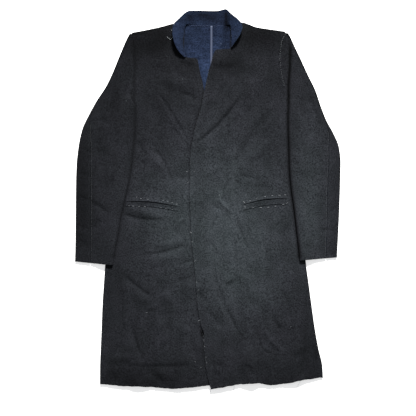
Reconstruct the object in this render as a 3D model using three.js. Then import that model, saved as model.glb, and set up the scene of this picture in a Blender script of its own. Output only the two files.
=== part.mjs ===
// A chesterfield coat in double-faced wool, laid flat on its back with the front up.
// Millimetres, +Z up: X runs across the coat and Y up its length, from hem to collar.
// Left and right are the wearer's, so the left side of the coat is at +X.
import * as THREE from "three";

// Walls and clearances.
const clothThickness = 2; // one wall of double-faced wool
const jetThickness = 1.2; // the thinner strips round a pocket mouth
const tapeThickness = 1; // bonded tape on the centre back seam
const seamGap = 0.3; // between two pieces where they are sewn
const armholeGap = 0.35; // from each piece's edge to the armhole line
const bodyAir = 1.6; // air between the back and the fronts that lie on it
const overlapAir = 0.8; // air where one front laps over the other
const sleeveAir = 1.2; // air inside a flattened sleeve, and under it where it lies on the front
const stripAir = 0.7; // air under a pocket strip
const halfWall = clothThickness / 2;

// Heights of the walls' middle surfaces above the floor.
const backLevel = halfWall;
const frontLevel = backLevel + clothThickness + bodyAir;
const lapRise = clothThickness + overlapAir;
const sleeveUnderLevel = halfWall;
const sleeveRise = clothThickness + sleeveAir;
const sleeveOnFrontLevel = frontLevel + clothThickness + sleeveAir;
const sideRollRadius = (frontLevel - backLevel) / 2;
const sleeveRollRadius = sleeveRise / 2;

// Places along the coat.
const centreBack = 9.6; // X of the centre back seam, as the coat lies
const armpit = 210; // Y of the side seams' top ends
const tapeWidth = 5;

// The fronts lie close within closeSide of the body's edge and above closeAbove. Their full room
// starts sideReach further in and shoulderReach further down.
const closeSide = 8;
const sideReach = 50;
const closeAbove = 425;
const shoulderReach = 60;

// The lap starts its climb this far outside the hidden front edge, and takes this long over it.
const lapFoot = 26;
const lapReach = 22;

// Over how many sections from the hem or the shoulder a panel's shape fades into its straight part.
const hemSections = 2.2;
const shoulderSections = 1.5;
const capSections = 2;

// Where a sleeve climbs onto the front, as distances out from the body's edge. Its top layer climbs
// over a longer run than the layer beneath.
const climbFoot = 17;
const climbTop = 3;
const topClimbFoot = 39;
const topClimbEnd = -1;
const forearmSeamOut = 17; // the forearm seam lies here, under the sleeve and outside the body
const foldRunOut = 3; // half the run of the step where the inner fold rises out of the sleeve's cap

// Outline of the body: the side seams below the armpit, the armholes above it.
const bodyEdges = [
  { y: -560, right: -298, left: 322 },
  { y: -508, right: -296.5, left: 317.5 },
  { y: -459, right: -296.2, left: 314.6 },
  { y: -412, right: -294.4, left: 304.2 },
  { y: -355, right: -292, left: 294 },
  { y: -288, right: -289.5, left: 284.6 },
  { y: -230, right: -285.7, left: 276.8 },
  { y: -176, right: -282, left: 269.4 },
  { y: -100, right: -275, left: 262 },
  { y: 0, right: -263, left: 256 },
  { y: 100, right: -252, left: 251 },
  { y: 180, right: -247.5, left: 248.5 },
  { y: 210, right: -246, left: 248 },
  { y: 228, right: -236, left: 238 },
  { y: 255, right: -219, left: 227 },
  { y: 286, right: -209, left: 217.5 },
  { y: 309, right: -205, left: 211 },
  { y: 350, right: -201, left: 201.6 },
  { y: 392, right: -199.5, left: 197.7 },
  { y: 434, right: -204.5, left: 203 },
  { y: 462, right: -208, left: 212 },
];

// Sections of the right front, which lies under the left one. Each row starts on the body's edge at
// sideY and ends on the front or neck edge.
const rightFrontSections = [
  { sideY: -508.5, edgeX: 66, edgeY: -512 },
  { sideY: -459, edgeX: 57, edgeY: -459 },
  { sideY: -385, edgeX: 44, edgeY: -385 },
  { sideY: -288, edgeX: 28, edgeY: -292 },
  { sideY: -198, edgeX: 20, edgeY: -198 },
  { sideY: -100, edgeX: 14, edgeY: -100 },
  { sideY: 0, edgeX: 12, edgeY: 0 },
  { sideY: 100, edgeX: 10.5, edgeY: 95 },
  { sideY: 180, edgeX: 8, edgeY: 165 },
  { sideY: 210, edgeX: 5.5, edgeY: 204 },
  { sideY: 255, edgeX: -1, edgeY: 248 },
  { sideY: 286, edgeX: -7.5, edgeY: 285 },
  { sideY: 328, edgeX: -15, edgeY: 322 },
  { sideY: 368, edgeX: -24, edgeY: 360 },
  { sideY: 392, edgeX: -30.5, edgeY: 386 },
  { sideY: 414, edgeX: -58.5, edgeY: 390 },
  { sideY: 432, edgeX: -66, edgeY: 420 },
  { sideY: 446, edgeX: -65, edgeY: 454 },
  { sideY: 458, edgeX: -60, edgeY: 482 },
];

// Sections of the left front, which lies on top.
const leftFrontSections = [
  { sideY: -490.3, edgeX: 8.3, edgeY: -522 },
  { sideY: -459, edgeX: -6.3, edgeY: -459 },
  { sideY: -385, edgeX: -13, edgeY: -385 },
  { sideY: -297, edgeX: -27, edgeY: -300 },
  { sideY: -198, edgeX: -36, edgeY: -199 },
  { sideY: -100, edgeX: -45.5, edgeY: -100 },
  { sideY: 0, edgeX: -49, edgeY: 0 },
  { sideY: 100, edgeX: -48.7, edgeY: 96 },
  { sideY: 180, edgeX: -41, edgeY: 165 },
  { sideY: 210, edgeX: -31, edgeY: 210 },
  { sideY: 255, edgeX: -19, edgeY: 248 },
  { sideY: 286, edgeX: -11.3, edgeY: 288 },
  { sideY: 330, edgeX: -3.5, edgeY: 326 },
  { sideY: 370, edgeX: 8.3, edgeY: 372 },
  { sideY: 400, edgeX: 23.7, edgeY: 411 },
  { sideY: 420, edgeX: 61, edgeY: 414 },
  { sideY: 438, edgeX: 63, edgeY: 440 },
  { sideY: 450, edgeX: 62, edgeY: 462 },
  { sideY: 461, edgeX: 60, edgeY: 482 },
];

// Sections of the back from the hem up: where a row starts at the side and ends at the centre.
const backSections = [
  { rightY: -504, leftY: -486, centreOut: 0, centreY: -511 },
  { rightY: -430, leftY: -430, centreOut: 0, centreY: -420 },
  { rightY: -288, leftY: -288, centreOut: 0, centreY: -280 },
  { rightY: -100, leftY: -100, centreOut: 0, centreY: -80 },
  { rightY: 60, leftY: 60, centreOut: 0, centreY: 90 },
  { rightY: 170, leftY: 170, centreOut: 0, centreY: 220 },
  { rightY: 210, leftY: 210, centreOut: 0, centreY: 275 },
  { rightY: 255, leftY: 255, centreOut: 0, centreY: 325 },
  { rightY: 300, leftY: 300, centreOut: 0, centreY: 375 },
  { rightY: 350, leftY: 350, centreOut: 0, centreY: 425 },
  { rightY: 398, leftY: 398, centreOut: 0, centreY: 478.4 },
  { rightY: 424, leftY: 425, centreOut: 34, centreY: 478.6 },
  { rightY: 441, leftY: 443, centreOut: 52, centreY: 480.4 },
  { rightY: 457.5, leftY: 460, centreOut: 66, centreY: 482 },
];

// How far the hem of the fronts drops below, or rises above, a straight line between its corners.
const hemWaves = [
  { x: -296, drop: 0 },
  { x: -228, drop: 4.5 },
  { x: -160, drop: 6 },
  { x: -100, drop: 10 },
  { x: -43, drop: 6 },
  { x: 8, drop: 0 },
  { x: 40, drop: -2 },
  { x: 90, drop: -5 },
  { x: 132, drop: -4 },
  { x: 175, drop: 6 },
  { x: 215, drop: 6 },
  { x: 262, drop: 1 },
  { x: 316, drop: 0 },
];

// How far the shoulder line stands above a straight line from armhole to neck.
const shoulderCrown = [
  { x: -208, rise: 0 },
  { x: -163, rise: 1 },
  { x: -127, rise: 3 },
  { x: -95, rise: 6 },
  { x: -60, rise: 0 },
  { x: 60, rise: 0 },
  { x: 96, rise: 7 },
  { x: 138, rise: 0 },
  { x: 180, rise: 0 },
  { x: 212, rise: 0 },
];

// The largest folds in the fronts: soft ridges between two points.
const folds = [
  { x0: -150, y0: 310, x1: -50, y1: 165, width: 15, rise: 2.6 },
  { x0: 125, y0: 325, x1: -30, y1: 160, width: 16, rise: 3 },
  { x0: -190, y0: 150, x1: -90, y1: 50, width: 16, rise: 2.6 },
  { x0: 150, y0: 160, x1: 70, y1: 40, width: 20, rise: 2 },
  { x0: -205, y0: -45, x1: -100, y1: -52, width: 15, rise: 2.6 },
  { x0: -190, y0: -180, x1: -40, y1: -146, width: 14, rise: 2.2 },
  { x0: -245, y0: -225, x1: -150, y1: -300, width: 18, rise: 2.6 },
  { x0: 38, y0: -5, x1: 58, y1: -200, width: 15, rise: 2.4 },
  { x0: 90, y0: -10, x1: 100, y1: -180, width: 17, rise: 2 },
  { x0: 36, y0: -265, x1: 95, y1: -405, width: 18, rise: 3 },
  { x0: 104, y0: -380, x1: 140, y1: -640, width: 22, rise: 8 },
  { x0: -205, y0: -370, x1: -178, y1: -640, width: 22, rise: 5 },
  { x0: 228, y0: -390, x1: 258, y1: -620, width: 22, rise: 5 },
  { x0: -60, y0: -400, x1: -80, y1: -620, width: 26, rise: 3 },
];

// The collar: its seam to the neck and its free edge, from the right front end round to the left.
const collarSections = [
  { seamX: -61, seamY: 392, seamZ: 7.2, freeX: -64.5, freeY: 390, freeZ: 12 },
  { seamX: -64, seamY: 404, seamZ: 7.2, freeX: -79, freeY: 404, freeZ: 19 },
  { seamX: -67.5, seamY: 420, seamZ: 7.2, freeX: -89, freeY: 421, freeZ: 24 },
  { seamX: -68.5, seamY: 437, seamZ: 7.2, freeX: -94.5, freeY: 439, freeZ: 26 },
  { seamX: -67, seamY: 453, seamZ: 7.2, freeX: -97, freeY: 456, freeZ: 25 },
  { seamX: -64.5, seamY: 467, seamZ: 7.4, freeX: -97, freeY: 471, freeZ: 20 },
  { seamX: -62, seamY: 476.5, seamZ: 7.6, freeX: -92.4, freeY: 482.6, freeZ: 17 },
  { seamX: -58.5, seamY: 483.2, seamZ: 6.6, freeX: -82, freeY: 493, freeZ: 14 },
  { seamX: -53.5, seamY: 482.4, seamZ: 3.4, freeX: -70.8, freeY: 504.2, freeZ: 12 },
  { seamX: -47, seamY: 481.7, seamZ: 1.5, freeX: -59.6, freeY: 514, freeZ: 8 },
  { seamX: -39, seamY: 480.4, seamZ: 1.25, freeX: -49, freeY: 518, freeZ: 4 },
  { seamX: -28, seamY: 479.4, seamZ: 1.25, freeX: -32, freeY: 518.2, freeZ: 2 },
  { seamX: -10, seamY: 478.95, seamZ: 1.25, freeX: -11, freeY: 517.8, freeZ: 1.3 },
  { seamX: 10, seamY: 478.85, seamZ: 1.25, freeX: 10, freeY: 517.4, freeZ: 1.1 },
  { seamX: 28, seamY: 479, seamZ: 1.25, freeX: 27, freeY: 517.6, freeZ: 1.5 },
  { seamX: 42, seamY: 479.2, seamZ: 1.25, freeX: 40, freeY: 520.5, freeZ: 4 },
  { seamX: 50, seamY: 479.6, seamZ: 1.5, freeX: 50, freeY: 522, freeZ: 7 },
  { seamX: 55.5, seamY: 480.2, seamZ: 3.4, freeX: 59.8, freeY: 512.8, freeZ: 10 },
  { seamX: 60, seamY: 481.6, seamZ: 6.6, freeX: 70.2, freeY: 504, freeZ: 13 },
  { seamX: 62.5, seamY: 476.5, seamZ: 7.6, freeX: 80.8, freeY: 495.2, freeZ: 15 },
  { seamX: 63.5, seamY: 468, seamZ: 7.4, freeX: 90.8, freeY: 483.6, freeZ: 17 },
  { seamX: 64.5, seamY: 456, seamZ: 7.2, freeX: 94.5, freeY: 471, freeZ: 19 },
  { seamX: 65, seamY: 443, seamZ: 7.2, freeX: 89.5, freeY: 454.5, freeZ: 21 },
  { seamX: 65, seamY: 430, seamZ: 7.2, freeX: 79, freeY: 437, freeZ: 20 },
  { seamX: 63.5, seamY: 418, seamZ: 7.2, freeX: 65, freeY: 418.5, freeZ: 12 },
];

// Sleeve sections from the cuff up, drawn as for the right sleeve, from the outer fold to the inner
// fold. Where onFront is 0 the cloth runs on from the inner fold to the armhole, a step down.
// backSeam is how far the hindarm seam lies in from the outer fold, on the upper side.
const rightSleeveSections = [
  { outX: -365, outY: -171, inX: -261, inY: -181.5, onFront: 1, backSeam: 43, step: 2 },
  { outX: -363.8, outY: -110, inX: -248, inY: -104, onFront: 1, backSeam: 42, step: 2 },
  { outX: -363, outY: -30, inX: -235.5, inY: -33, onFront: 1, backSeam: 41, step: 2 },
  { outX: -362.5, outY: 35, inX: -220, inY: 33, onFront: 1, backSeam: 40, step: 2 },
  { outX: -361, outY: 91, inX: -210, inY: 92, onFront: 1, backSeam: 38, step: 2 },
  { outX: -356, outY: 142, inX: -204.5, inY: 140, onFront: 1, backSeam: 33, step: 2 },
  { outX: -346, outY: 190, inX: -201, inY: 183, onFront: 1, backSeam: 21, step: 2 },
  { outX: -326.6, outY: 232.5, inX: -199.5, inY: 222, onFront: 1, backSeam: 5, step: 2 },
  { outX: -305.3, outY: 271, inX: -201, inY: 256, onFront: 1, backSeam: 2, step: 2 },
  { outX: -281, outY: 308, inX: -209.5, inY: 291, onFront: 0, backSeam: 2, step: 2 },
  { outX: -262, outY: 347, inX: -209.5, inY: 331, onFront: 0, backSeam: 2, step: 1.6 },
  { outX: -246, outY: 386, inX: -208, inY: 373, onFront: 0, backSeam: 2, step: 1 },
  { outX: -232, outY: 420, inX: -209.5, inY: 412.5, onFront: 0, backSeam: 2, step: 0.4 },
  { outX: -222.5, outY: 441, inX: -212.5, inY: 438.5, onFront: 0, backSeam: 2, step: 0 },
  { outX: -215.5, outY: 453.5, inX: -211, inY: 454.5, onFront: 0, backSeam: 2, step: 0 },
];

const leftSleeveSections = [
  { outX: -355, outY: -159.5, inX: -252, inY: -168.5, onFront: 1, backSeam: 30, step: 3 },
  { outX: -359, outY: -84, inX: -243.5, inY: -88, onFront: 1, backSeam: 32, step: 3 },
  { outX: -361.4, outY: -30, inX: -236.8, inY: -30, onFront: 1, backSeam: 33, step: 3 },
  { outX: -363.5, outY: 35, inX: -228.5, inY: 30, onFront: 1, backSeam: 34, step: 3 },
  { outX: -365, outY: 100, inX: -223.5, inY: 88, onFront: 1, backSeam: 33, step: 3 },
  { outX: -360.3, outY: 142.7, inX: -222, inY: 142, onFront: 1, backSeam: 28, step: 3 },
  { outX: -345.7, outY: 179.3, inX: -220.5, inY: 188, onFront: 1, backSeam: 13, step: 3 },
  { outX: -325.5, outY: 217, inX: -220, inY: 222, onFront: 1, backSeam: 3, step: 3 },
  { outX: -311, outY: 254, inX: -221, inY: 250, onFront: 1, backSeam: 2, step: 3 },
  { outX: -295.7, outY: 299, inX: -221.5, inY: 281, onFront: 0, backSeam: 2, step: 3 },
  { outX: -274.8, outY: 342, inX: -222, inY: 318, onFront: 0, backSeam: 2, step: 3 },
  { outX: -254.3, outY: 386.7, inX: -225.5, inY: 367.5, onFront: 0, backSeam: 2, step: 2.6 },
  { outX: -237, outY: 423, inX: -226.5, inY: 416, onFront: 0, backSeam: 2, step: 1.2 },
  { outX: -226.5, outY: 446, inX: -219, inY: 443, onFront: 0, backSeam: 2, step: 0 },
  { outX: -220.5, outY: 455.5, inX: -215, inY: 456.8, onFront: 0, backSeam: 2, step: 0 },
];

// Pocket mouths: a slit with a narrow strip sewn along each side.
const pockets = [
  { side: "right", x0: -226, y0: -7, x1: -81, y1: -21, bow: 3, upper: 12, lower: 12 },
  { side: "left", x0: 96, y0: -16, x1: 216, y1: 1, bow: 4, upper: 11, lower: 15 },
];
const slitWidth = 1.6;
const foldFade = 0.3; // the share of a fold's length over which each end fades
const collarBulge = 0.09; // how far the collar arches, as a share of its rise

// The roll at a side seam, from the seam up, as shares of its radius.
const sideRoll = [
  { out: 1, rise: 0 },
  { out: 1, rise: 0.4 },
  { out: 0.7, rise: 0.8 },
];

// Columns over the top of a sleeve: 0 the seam to the foot of the climb, 1 the climb, 2 the rest.
const sleeveTopShares = [
  { from: 0, share: 0 },
  { from: 0, share: 0.5 },
  { from: 0, share: 1 },
  { from: 1, share: 0.25 },
  { from: 1, share: 0.5 },
  { from: 1, share: 0.75 },
  { from: 1, share: 1 },
  { from: 2, share: 0.5 },
];

// Numbers of quads in each mesh.
const frontColumns = 15;
const frontStep = 2; // mesh rows for each section of a table
const backColumns = 5;
const backStep = 2;
const rollSteps = sideRoll.length;
const foldTurns = 4;
const sleeveStep = 2;
const edgeTrials = 4; // steps to find where a sleeve row meets the body's edge
const sleeveFloorColumns = 4;
const sleeveBackStripColumns = 3;
const collarColumns = 4;
const collarStep = 2;
const pocketSteps = 12;

// A value that goes smoothly from 0 to 1 as t does.
function ease(t) {
  const c = THREE.MathUtils.clamp(t, 0, 1);
  return c * c * (3 - 2 * c);
}

// A smooth value between keys, with no overshoot.
function smoothBetween(keys, values, at) {
  const last = keys.length - 1;
  if (at <= keys[0]) return values[0];
  if (at >= keys[last]) return values[last];
  const i = keys.findIndex((key) => key > at) - 1;
  const slope = (k) => {
    if (k < 0 || k >= last) return 0;
    return (values[k + 1] - values[k]) / (keys[k + 1] - keys[k]);
  };
  const tangent = (k) => {
    const [before, after] = [slope(k - 1), slope(k)];
    return before * after > 0 ? (2 * before * after) / (before + after) : 0;
  };
  const span = keys[i + 1] - keys[i];
  const t = (at - keys[i]) / span;
  const [t2, t3] = [t * t, t * t * t];
  return (
    (2 * t3 - 3 * t2 + 1) * values[i] +
    (t3 - 2 * t2 + t) * span * tangent(i) +
    (3 * t2 - 2 * t3) * values[i + 1] +
    (t3 - t2) * span * tangent(i + 1)
  );
}

// A column of a table, read by another column.
function lookUp(table, key, column, at) {
  const read = (name) => table.map((row) => row[name]);
  return smoothBetween(read(key), read(column), at);
}

// A smooth curve through columns of a table, read by section number.
function curveOf(table, ...columns) {
  const numbers = table.map((row, i) => i);
  const read = (column) => table.map((row) => row[column]);
  const lists = columns.map(read);
  return (section) =>
    new THREE.Vector3(...lists.map((list) => smoothBetween(numbers, list, section)));
}

// Section numbers for the rows of a mesh.
function sectionNumbers(table, step) {
  return Array.from({ length: (table.length - 1) * step + 1 }, (_, i) => i / step);
}

const bodyRightEdge = (y) => lookUp(bodyEdges, "y", "right", y);
const bodyLeftEdge = (y) => lookUp(bodyEdges, "y", "left", y);

// The X of the right front's edge, hidden under the left front, at a height up the coat. The rows
// past its top corner turn along the neck and are left out.
const neckRows = 4;
const hiddenEdgeRows = rightFrontSections.slice(0, -neckRows);
const hiddenEdge = (y) => lookUp(hiddenEdgeRows, "edgeY", "edgeX", y);

// How far a fold lifts the cloth at a point.
function foldLift(fold, x, y) {
  const [dx, dy] = [fold.x1 - fold.x0, fold.y1 - fold.y0];
  const length = Math.hypot(dx, dy);
  const along = ((x - fold.x0) * dx + (y - fold.y0) * dy) / (length * length);
  const away = Math.abs((x - fold.x0) * dy - (y - fold.y0) * dx) / length;
  if (along <= 0 || along >= 1) return 0;
  const taper = ease(along / foldFade) * ease((1 - along) / foldFade);
  return fold.rise * taper * Math.exp(-((away / fold.width) ** 2));
}

// Air and folds under the fronts, which lie close along the side seams, armholes and neck.
function frontLift(x, y) {
  const inFromSide = Math.min(x - bodyRightEdge(y), bodyLeftEdge(y) - x);
  const room = ease((inFromSide - closeSide) / sideReach) * ease((closeAbove - y) / shoulderReach);
  const lift = folds.reduce((sum, fold) => sum + foldLift(fold, x, y), 1);
  return room * lift;
}

// The left front climbs over the right front's edge.
function lapLift(x, y) {
  return lapRise * ease((hiddenEdge(y) + lapFoot - x) / lapReach);
}

const rightFrontHeight = (x, y) => frontLevel + frontLift(x, y);
const leftFrontHeight = (x, y) => frontLevel + frontLift(x, y) + lapLift(x, y);

// A closed wall of cloth round a grid of points on its middle surface.
function wallGeometry(rows, thickness) {
  const [rowCount, columnCount] = [rows.length, rows[0].length];
  const at = (i, j) => {
    const row = THREE.MathUtils.clamp(i, 0, rowCount - 1);
    return rows[row][THREE.MathUtils.clamp(j, 0, columnCount - 1)];
  };
  const positions = [];
  for (const side of [1, -1]) {
    for (let i = 0; i < rowCount; i++) {
      for (let j = 0; j < columnCount; j++) {
        const across = at(i, j + 1).clone().sub(at(i, j - 1));
        const up = at(i + 1, j).clone().sub(at(i - 1, j));
        const normal = across.cross(up).normalize();
        positions.push(...at(i, j).clone().addScaledVector(normal, (side * thickness) / 2));
      }
    }
  }
  const outer = (i, j) => i * columnCount + j;
  const inner = (i, j) => rowCount * columnCount + outer(i, j);
  const faces = [];
  const quad = (a, b, c, d) => faces.push(a, b, c, a, c, d);
  for (let i = 0; i < rowCount - 1; i++) {
    for (let j = 0; j < columnCount - 1; j++) {
      quad(outer(i, j), outer(i, j + 1), outer(i + 1, j + 1), outer(i + 1, j));
      quad(inner(i, j), inner(i + 1, j), inner(i + 1, j + 1), inner(i, j + 1));
    }
  }
  const [topRow, lastColumn] = [rowCount - 1, columnCount - 1];
  for (let j = 0; j < lastColumn; j++) {
    quad(outer(0, j), inner(0, j), inner(0, j + 1), outer(0, j + 1));
    quad(outer(topRow, j), outer(topRow, j + 1), inner(topRow, j + 1), inner(topRow, j));
  }
  for (let i = 0; i < topRow; i++) {
    quad(outer(i, 0), outer(i + 1, 0), inner(i + 1, 0), inner(i, 0));
    quad(outer(i, lastColumn), inner(i, lastColumn), inner(i + 1, lastColumn), outer(i + 1, lastColumn));
  }
  const geometry = new THREE.BufferGeometry();
  geometry.setAttribute("position", new THREE.Float32BufferAttribute(positions, 3));
  geometry.setIndex(faces);
  return geometry;
}

// Rows of a grid reversed, for a panel drawn from its +X side.
const reversed = (rows) => rows.map((row) => [...row].reverse());

// The same grid on the other side of X = 0, with its faces still pointing the same way.
const mirrored = (rows) =>
  rows.map((row) => row.map((p) => new THREE.Vector3(-p.x, p.y, p.z)).reverse());

// Points from a panel's side edge to where its flat part starts. Below the armpit they roll to the
// side seam at mid height, with upright turned to 1 for the front and -1 for the back.
function sideEdgePoints(edgeX, y, inward, level, upright) {
  if (y >= armpit - 1) {
    const start = edgeX + inward * armholeGap;
    return sideRoll.map((turn, k) => new THREE.Vector3(start + inward * k, y, level));
  }
  const flatStart = edgeX + inward * (halfWall + sideRollRadius);
  return sideRoll.map(({ out, rise }) => {
    const down = sideRollRadius * (1 - rise) - (rise ? 0 : seamGap / 2);
    const x = flatStart - inward * sideRollRadius * out;
    return new THREE.Vector3(x, y, level - upright * down);
  });
}

// The step from the last of those points to the flat part's first.
const flatStartAfter = (y) => (y < armpit - 1 ? sideRollRadius / 2 : 1);

// A front, from its side seam or armhole to its front edge. At the shoulder it comes down onto
// the back.
function frontGrid(table, edgeOf, inward, height) {
  const ends = curveOf(table, "sideY", "edgeX", "edgeY");
  const last = table.length - 1;
  return sectionNumbers(table, frontStep).map((section) => {
    const { x: sideY, y: edgeX, z: edgeY } = ends(section);
    const nearHem = 1 - ease(section / hemSections);
    const nearShoulder = ease((section - last + shoulderSections) / shoulderSections);
    const settle = nearShoulder * (bodyAir - seamGap);
    const place = (x, share) => {
      const drop = nearHem * lookUp(hemWaves, "x", "drop", x);
      const crown = nearShoulder * lookUp(shoulderCrown, "x", "rise", x);
      return THREE.MathUtils.lerp(sideY, edgeY, share) - drop + crown;
    };
    const row = sideEdgePoints(edgeOf(sideY), sideY, inward, frontLevel, 1);
    row.forEach((p) => (p.y = place(p.x, 0)));
    const first = row[rollSteps - 1].x + inward * flatStartAfter(sideY);
    for (let k = 0; k <= frontColumns; k++) {
      const share = k / frontColumns;
      const x = THREE.MathUtils.lerp(first, edgeX, share);
      const y = place(x, share);
      row.push(new THREE.Vector3(x, y, height(x, y)));
    }
    row.forEach((p) => (p.z -= settle));
    return row;
  });
}

// One half of the back, flat on the floor, from its side seam or armhole to the centre back seam.
function backGrid(sideColumn, edgeOf, inward) {
  const ends = curveOf(backSections, sideColumn, "centreOut", "centreY");
  const last = backSections.length - 1;
  return sectionNumbers(backSections, backStep).map((section) => {
    const { x: sideY, y: centreOut, z: centreY } = ends(section);
    const nearShoulder = ease((section - last + shoulderSections) / shoulderSections);
    const centreX = centreBack - inward * (seamGap / 2 + centreOut);
    const row = sideEdgePoints(edgeOf(sideY), sideY, inward, backLevel, -1);
    const first = row[rollSteps - 1].x + inward * flatStartAfter(sideY);
    for (let k = 0; k <= backColumns; k++) {
      const share = k / backColumns;
      const x = THREE.MathUtils.lerp(first, centreX, share);
      const crown = nearShoulder * lookUp(shoulderCrown, "x", "rise", x);
      row.push(new THREE.Vector3(x, THREE.MathUtils.lerp(sideY, centreY, share) + crown, backLevel));
    }
    return row;
  });
}

// One section of a sleeve. Its at() gives a place d inwards from the outer fold, at a height. The
// row is followed to where it meets the body's edge, whose height up the coat is found by trials.
function sleeveSection(curves, section, edgeOf) {
  const [a, b] = [curves.outer(section), curves.inner(section)];
  const width = a.distanceTo(b);
  const inward = b.clone().sub(a).divideScalar(width);
  const at = (d, z) => new THREE.Vector3(a.x + inward.x * d, a.y + inward.y * d, z);
  const distanceTo = (x) => (x - a.x) / inward.x;
  const { x: onFront, y: seamIn, z: step } = curves.facts(section);
  let bodyEdge = edgeOf(b.y);
  for (let trial = 0; trial < edgeTrials; trial++) {
    bodyEdge = edgeOf(at(distanceTo(bodyEdge), 0).y);
  }
  const above = ease((b.y - armpit + 10) / 24);
  return { at, width, distanceTo, onFront, seamIn, step, bodyEdge, above };
}

function sleeveCurves(table) {
  return {
    outer: curveOf(table, "outX", "outY"),
    inner: curveOf(table, "inX", "inY"),
    facts: curveOf(table, "onFront", "backSeam", "step"),
  };
}

// A sleeve row that goes over the top, round the inner fold and back under to the forearm seam.
function foldedRow(s, firstIn, turnedDown) {
  const climb = sleeveOnFrontLevel - sleeveUnderLevel;
  const climbAt = (d, foot, top) => climb * ease((d - foot) / (top - foot));
  const [footX, topX] = [s.distanceTo(s.bodyEdge - climbFoot), s.distanceTo(s.bodyEdge - climbTop)];
  const foldStart = s.width - halfWall - sleeveRollRadius;
  const foot = Math.max(s.distanceTo(s.bodyEdge - topClimbFoot), firstIn + 3);
  const top = Math.min(Math.max(s.distanceTo(s.bodyEdge - topClimbEnd), foot + 3), foldStart - 2);
  const stops = [firstIn, foot, top, foldStart];
  const floorTop = sleeveUnderLevel + sleeveRise;
  const row = sleeveTopShares.map(({ from, share }, k) => {
    const d = THREE.MathUtils.lerp(stops[from], stops[from + 1], share);
    return [d, floorTop + climbAt(d, foot, top) - (k ? 0 : turnedDown)];
  });
  const foldTop = floorTop + climbAt(foldStart, foot, top);
  for (let k = 0; k <= foldTurns; k++) {
    const angle = Math.PI / 2 - (Math.PI * k) / foldTurns;
    const out = sleeveRollRadius * Math.cos(angle);
    row.push([foldStart + out, foldTop - sleeveRollRadius * (1 - Math.sin(angle))]);
  }
  const seamX = THREE.MathUtils.lerp(s.bodyEdge - forearmSeamOut, s.bodyEdge + 2, s.above);
  const seamAt = Math.min(s.distanceTo(seamX), foldStart - 4);
  const stripTop = Math.min(Math.max(topX, footX + 3, seamAt + 3), foldStart - 1);
  for (const d of [(foldStart + stripTop) / 2, stripTop, (stripTop + seamAt) / 2, seamAt]) {
    row.push([d, sleeveUnderLevel + climbAt(d, footX, topX)]);
  }
  return row;
}

// A row of the sleeve's cap, which lies flat: over the top to the inner fold, down its step and on
// to the armhole. height is where the cloth lies beside the front's edge.
function capRow(s, firstIn, turnedDown, height) {
  const armholeEnd = s.distanceTo(s.bodyEdge - armholeGap);
  const run = Math.min(foldRunOut, (armholeEnd - firstIn) / 5);
  const stepAt = THREE.MathUtils.clamp(s.width, firstIn + 2 * run, armholeEnd - 2 * run);
  const floorTop = sleeveUnderLevel + sleeveRise;
  const row = sleeveTopShares.map((_, k) => {
    const share = k / (sleeveTopShares.length - 1);
    const d = THREE.MathUtils.lerp(firstIn, stepAt - run, share);
    const z = THREE.MathUtils.lerp(floorTop, height + s.step, ease(share));
    return [d, z - (k ? 0 : turnedDown)];
  });
  for (let k = 0; k <= foldTurns; k++) {
    const share = k / foldTurns;
    const z = height + (s.step * (1 + Math.cos(Math.PI * share))) / 2;
    row.push([THREE.MathUtils.lerp(stepAt - run * (1 - 1 / foldTurns), stepAt + run, share), z]);
  }
  for (const share of [0.25, 0.5, 0.75, 1]) {
    row.push([THREE.MathUtils.lerp(stepAt + run, armholeEnd, share), height]);
  }
  return row;
}

// The upper piece of a two-piece sleeve, from its hindarm seam.
function sleeveUpperGrid(table, edgeOf) {
  const curves = sleeveCurves(table);
  const last = table.length - 1;
  return sectionNumbers(table, sleeveStep).map((section) => {
    const s = sleeveSection(curves, section, edgeOf);
    const firstIn = halfWall + s.seamIn + seamGap;
    const turnedDown = 0.4 * Math.max(0, sleeveRollRadius - s.seamIn);
    const nearShoulder = ease((section - last + capSections + 0.5) / capSections);
    const folded = foldedRow(s, firstIn, turnedDown);
    const flat = capRow(s, firstIn, turnedDown, frontLevel - nearShoulder * (bodyAir - seamGap));
    // Where folded rows turn into flat ones, the cloth comes down only once it is past the front's edge.
    const raised = ease(s.onFront * 2);
    return folded.map(([d, z], k) => {
      const [flatD, flatZ] = flat[k];
      return s.at(THREE.MathUtils.lerp(flatD, d, s.onFront), THREE.MathUtils.lerp(flatZ, z, raised));
    });
  });
}

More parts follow.
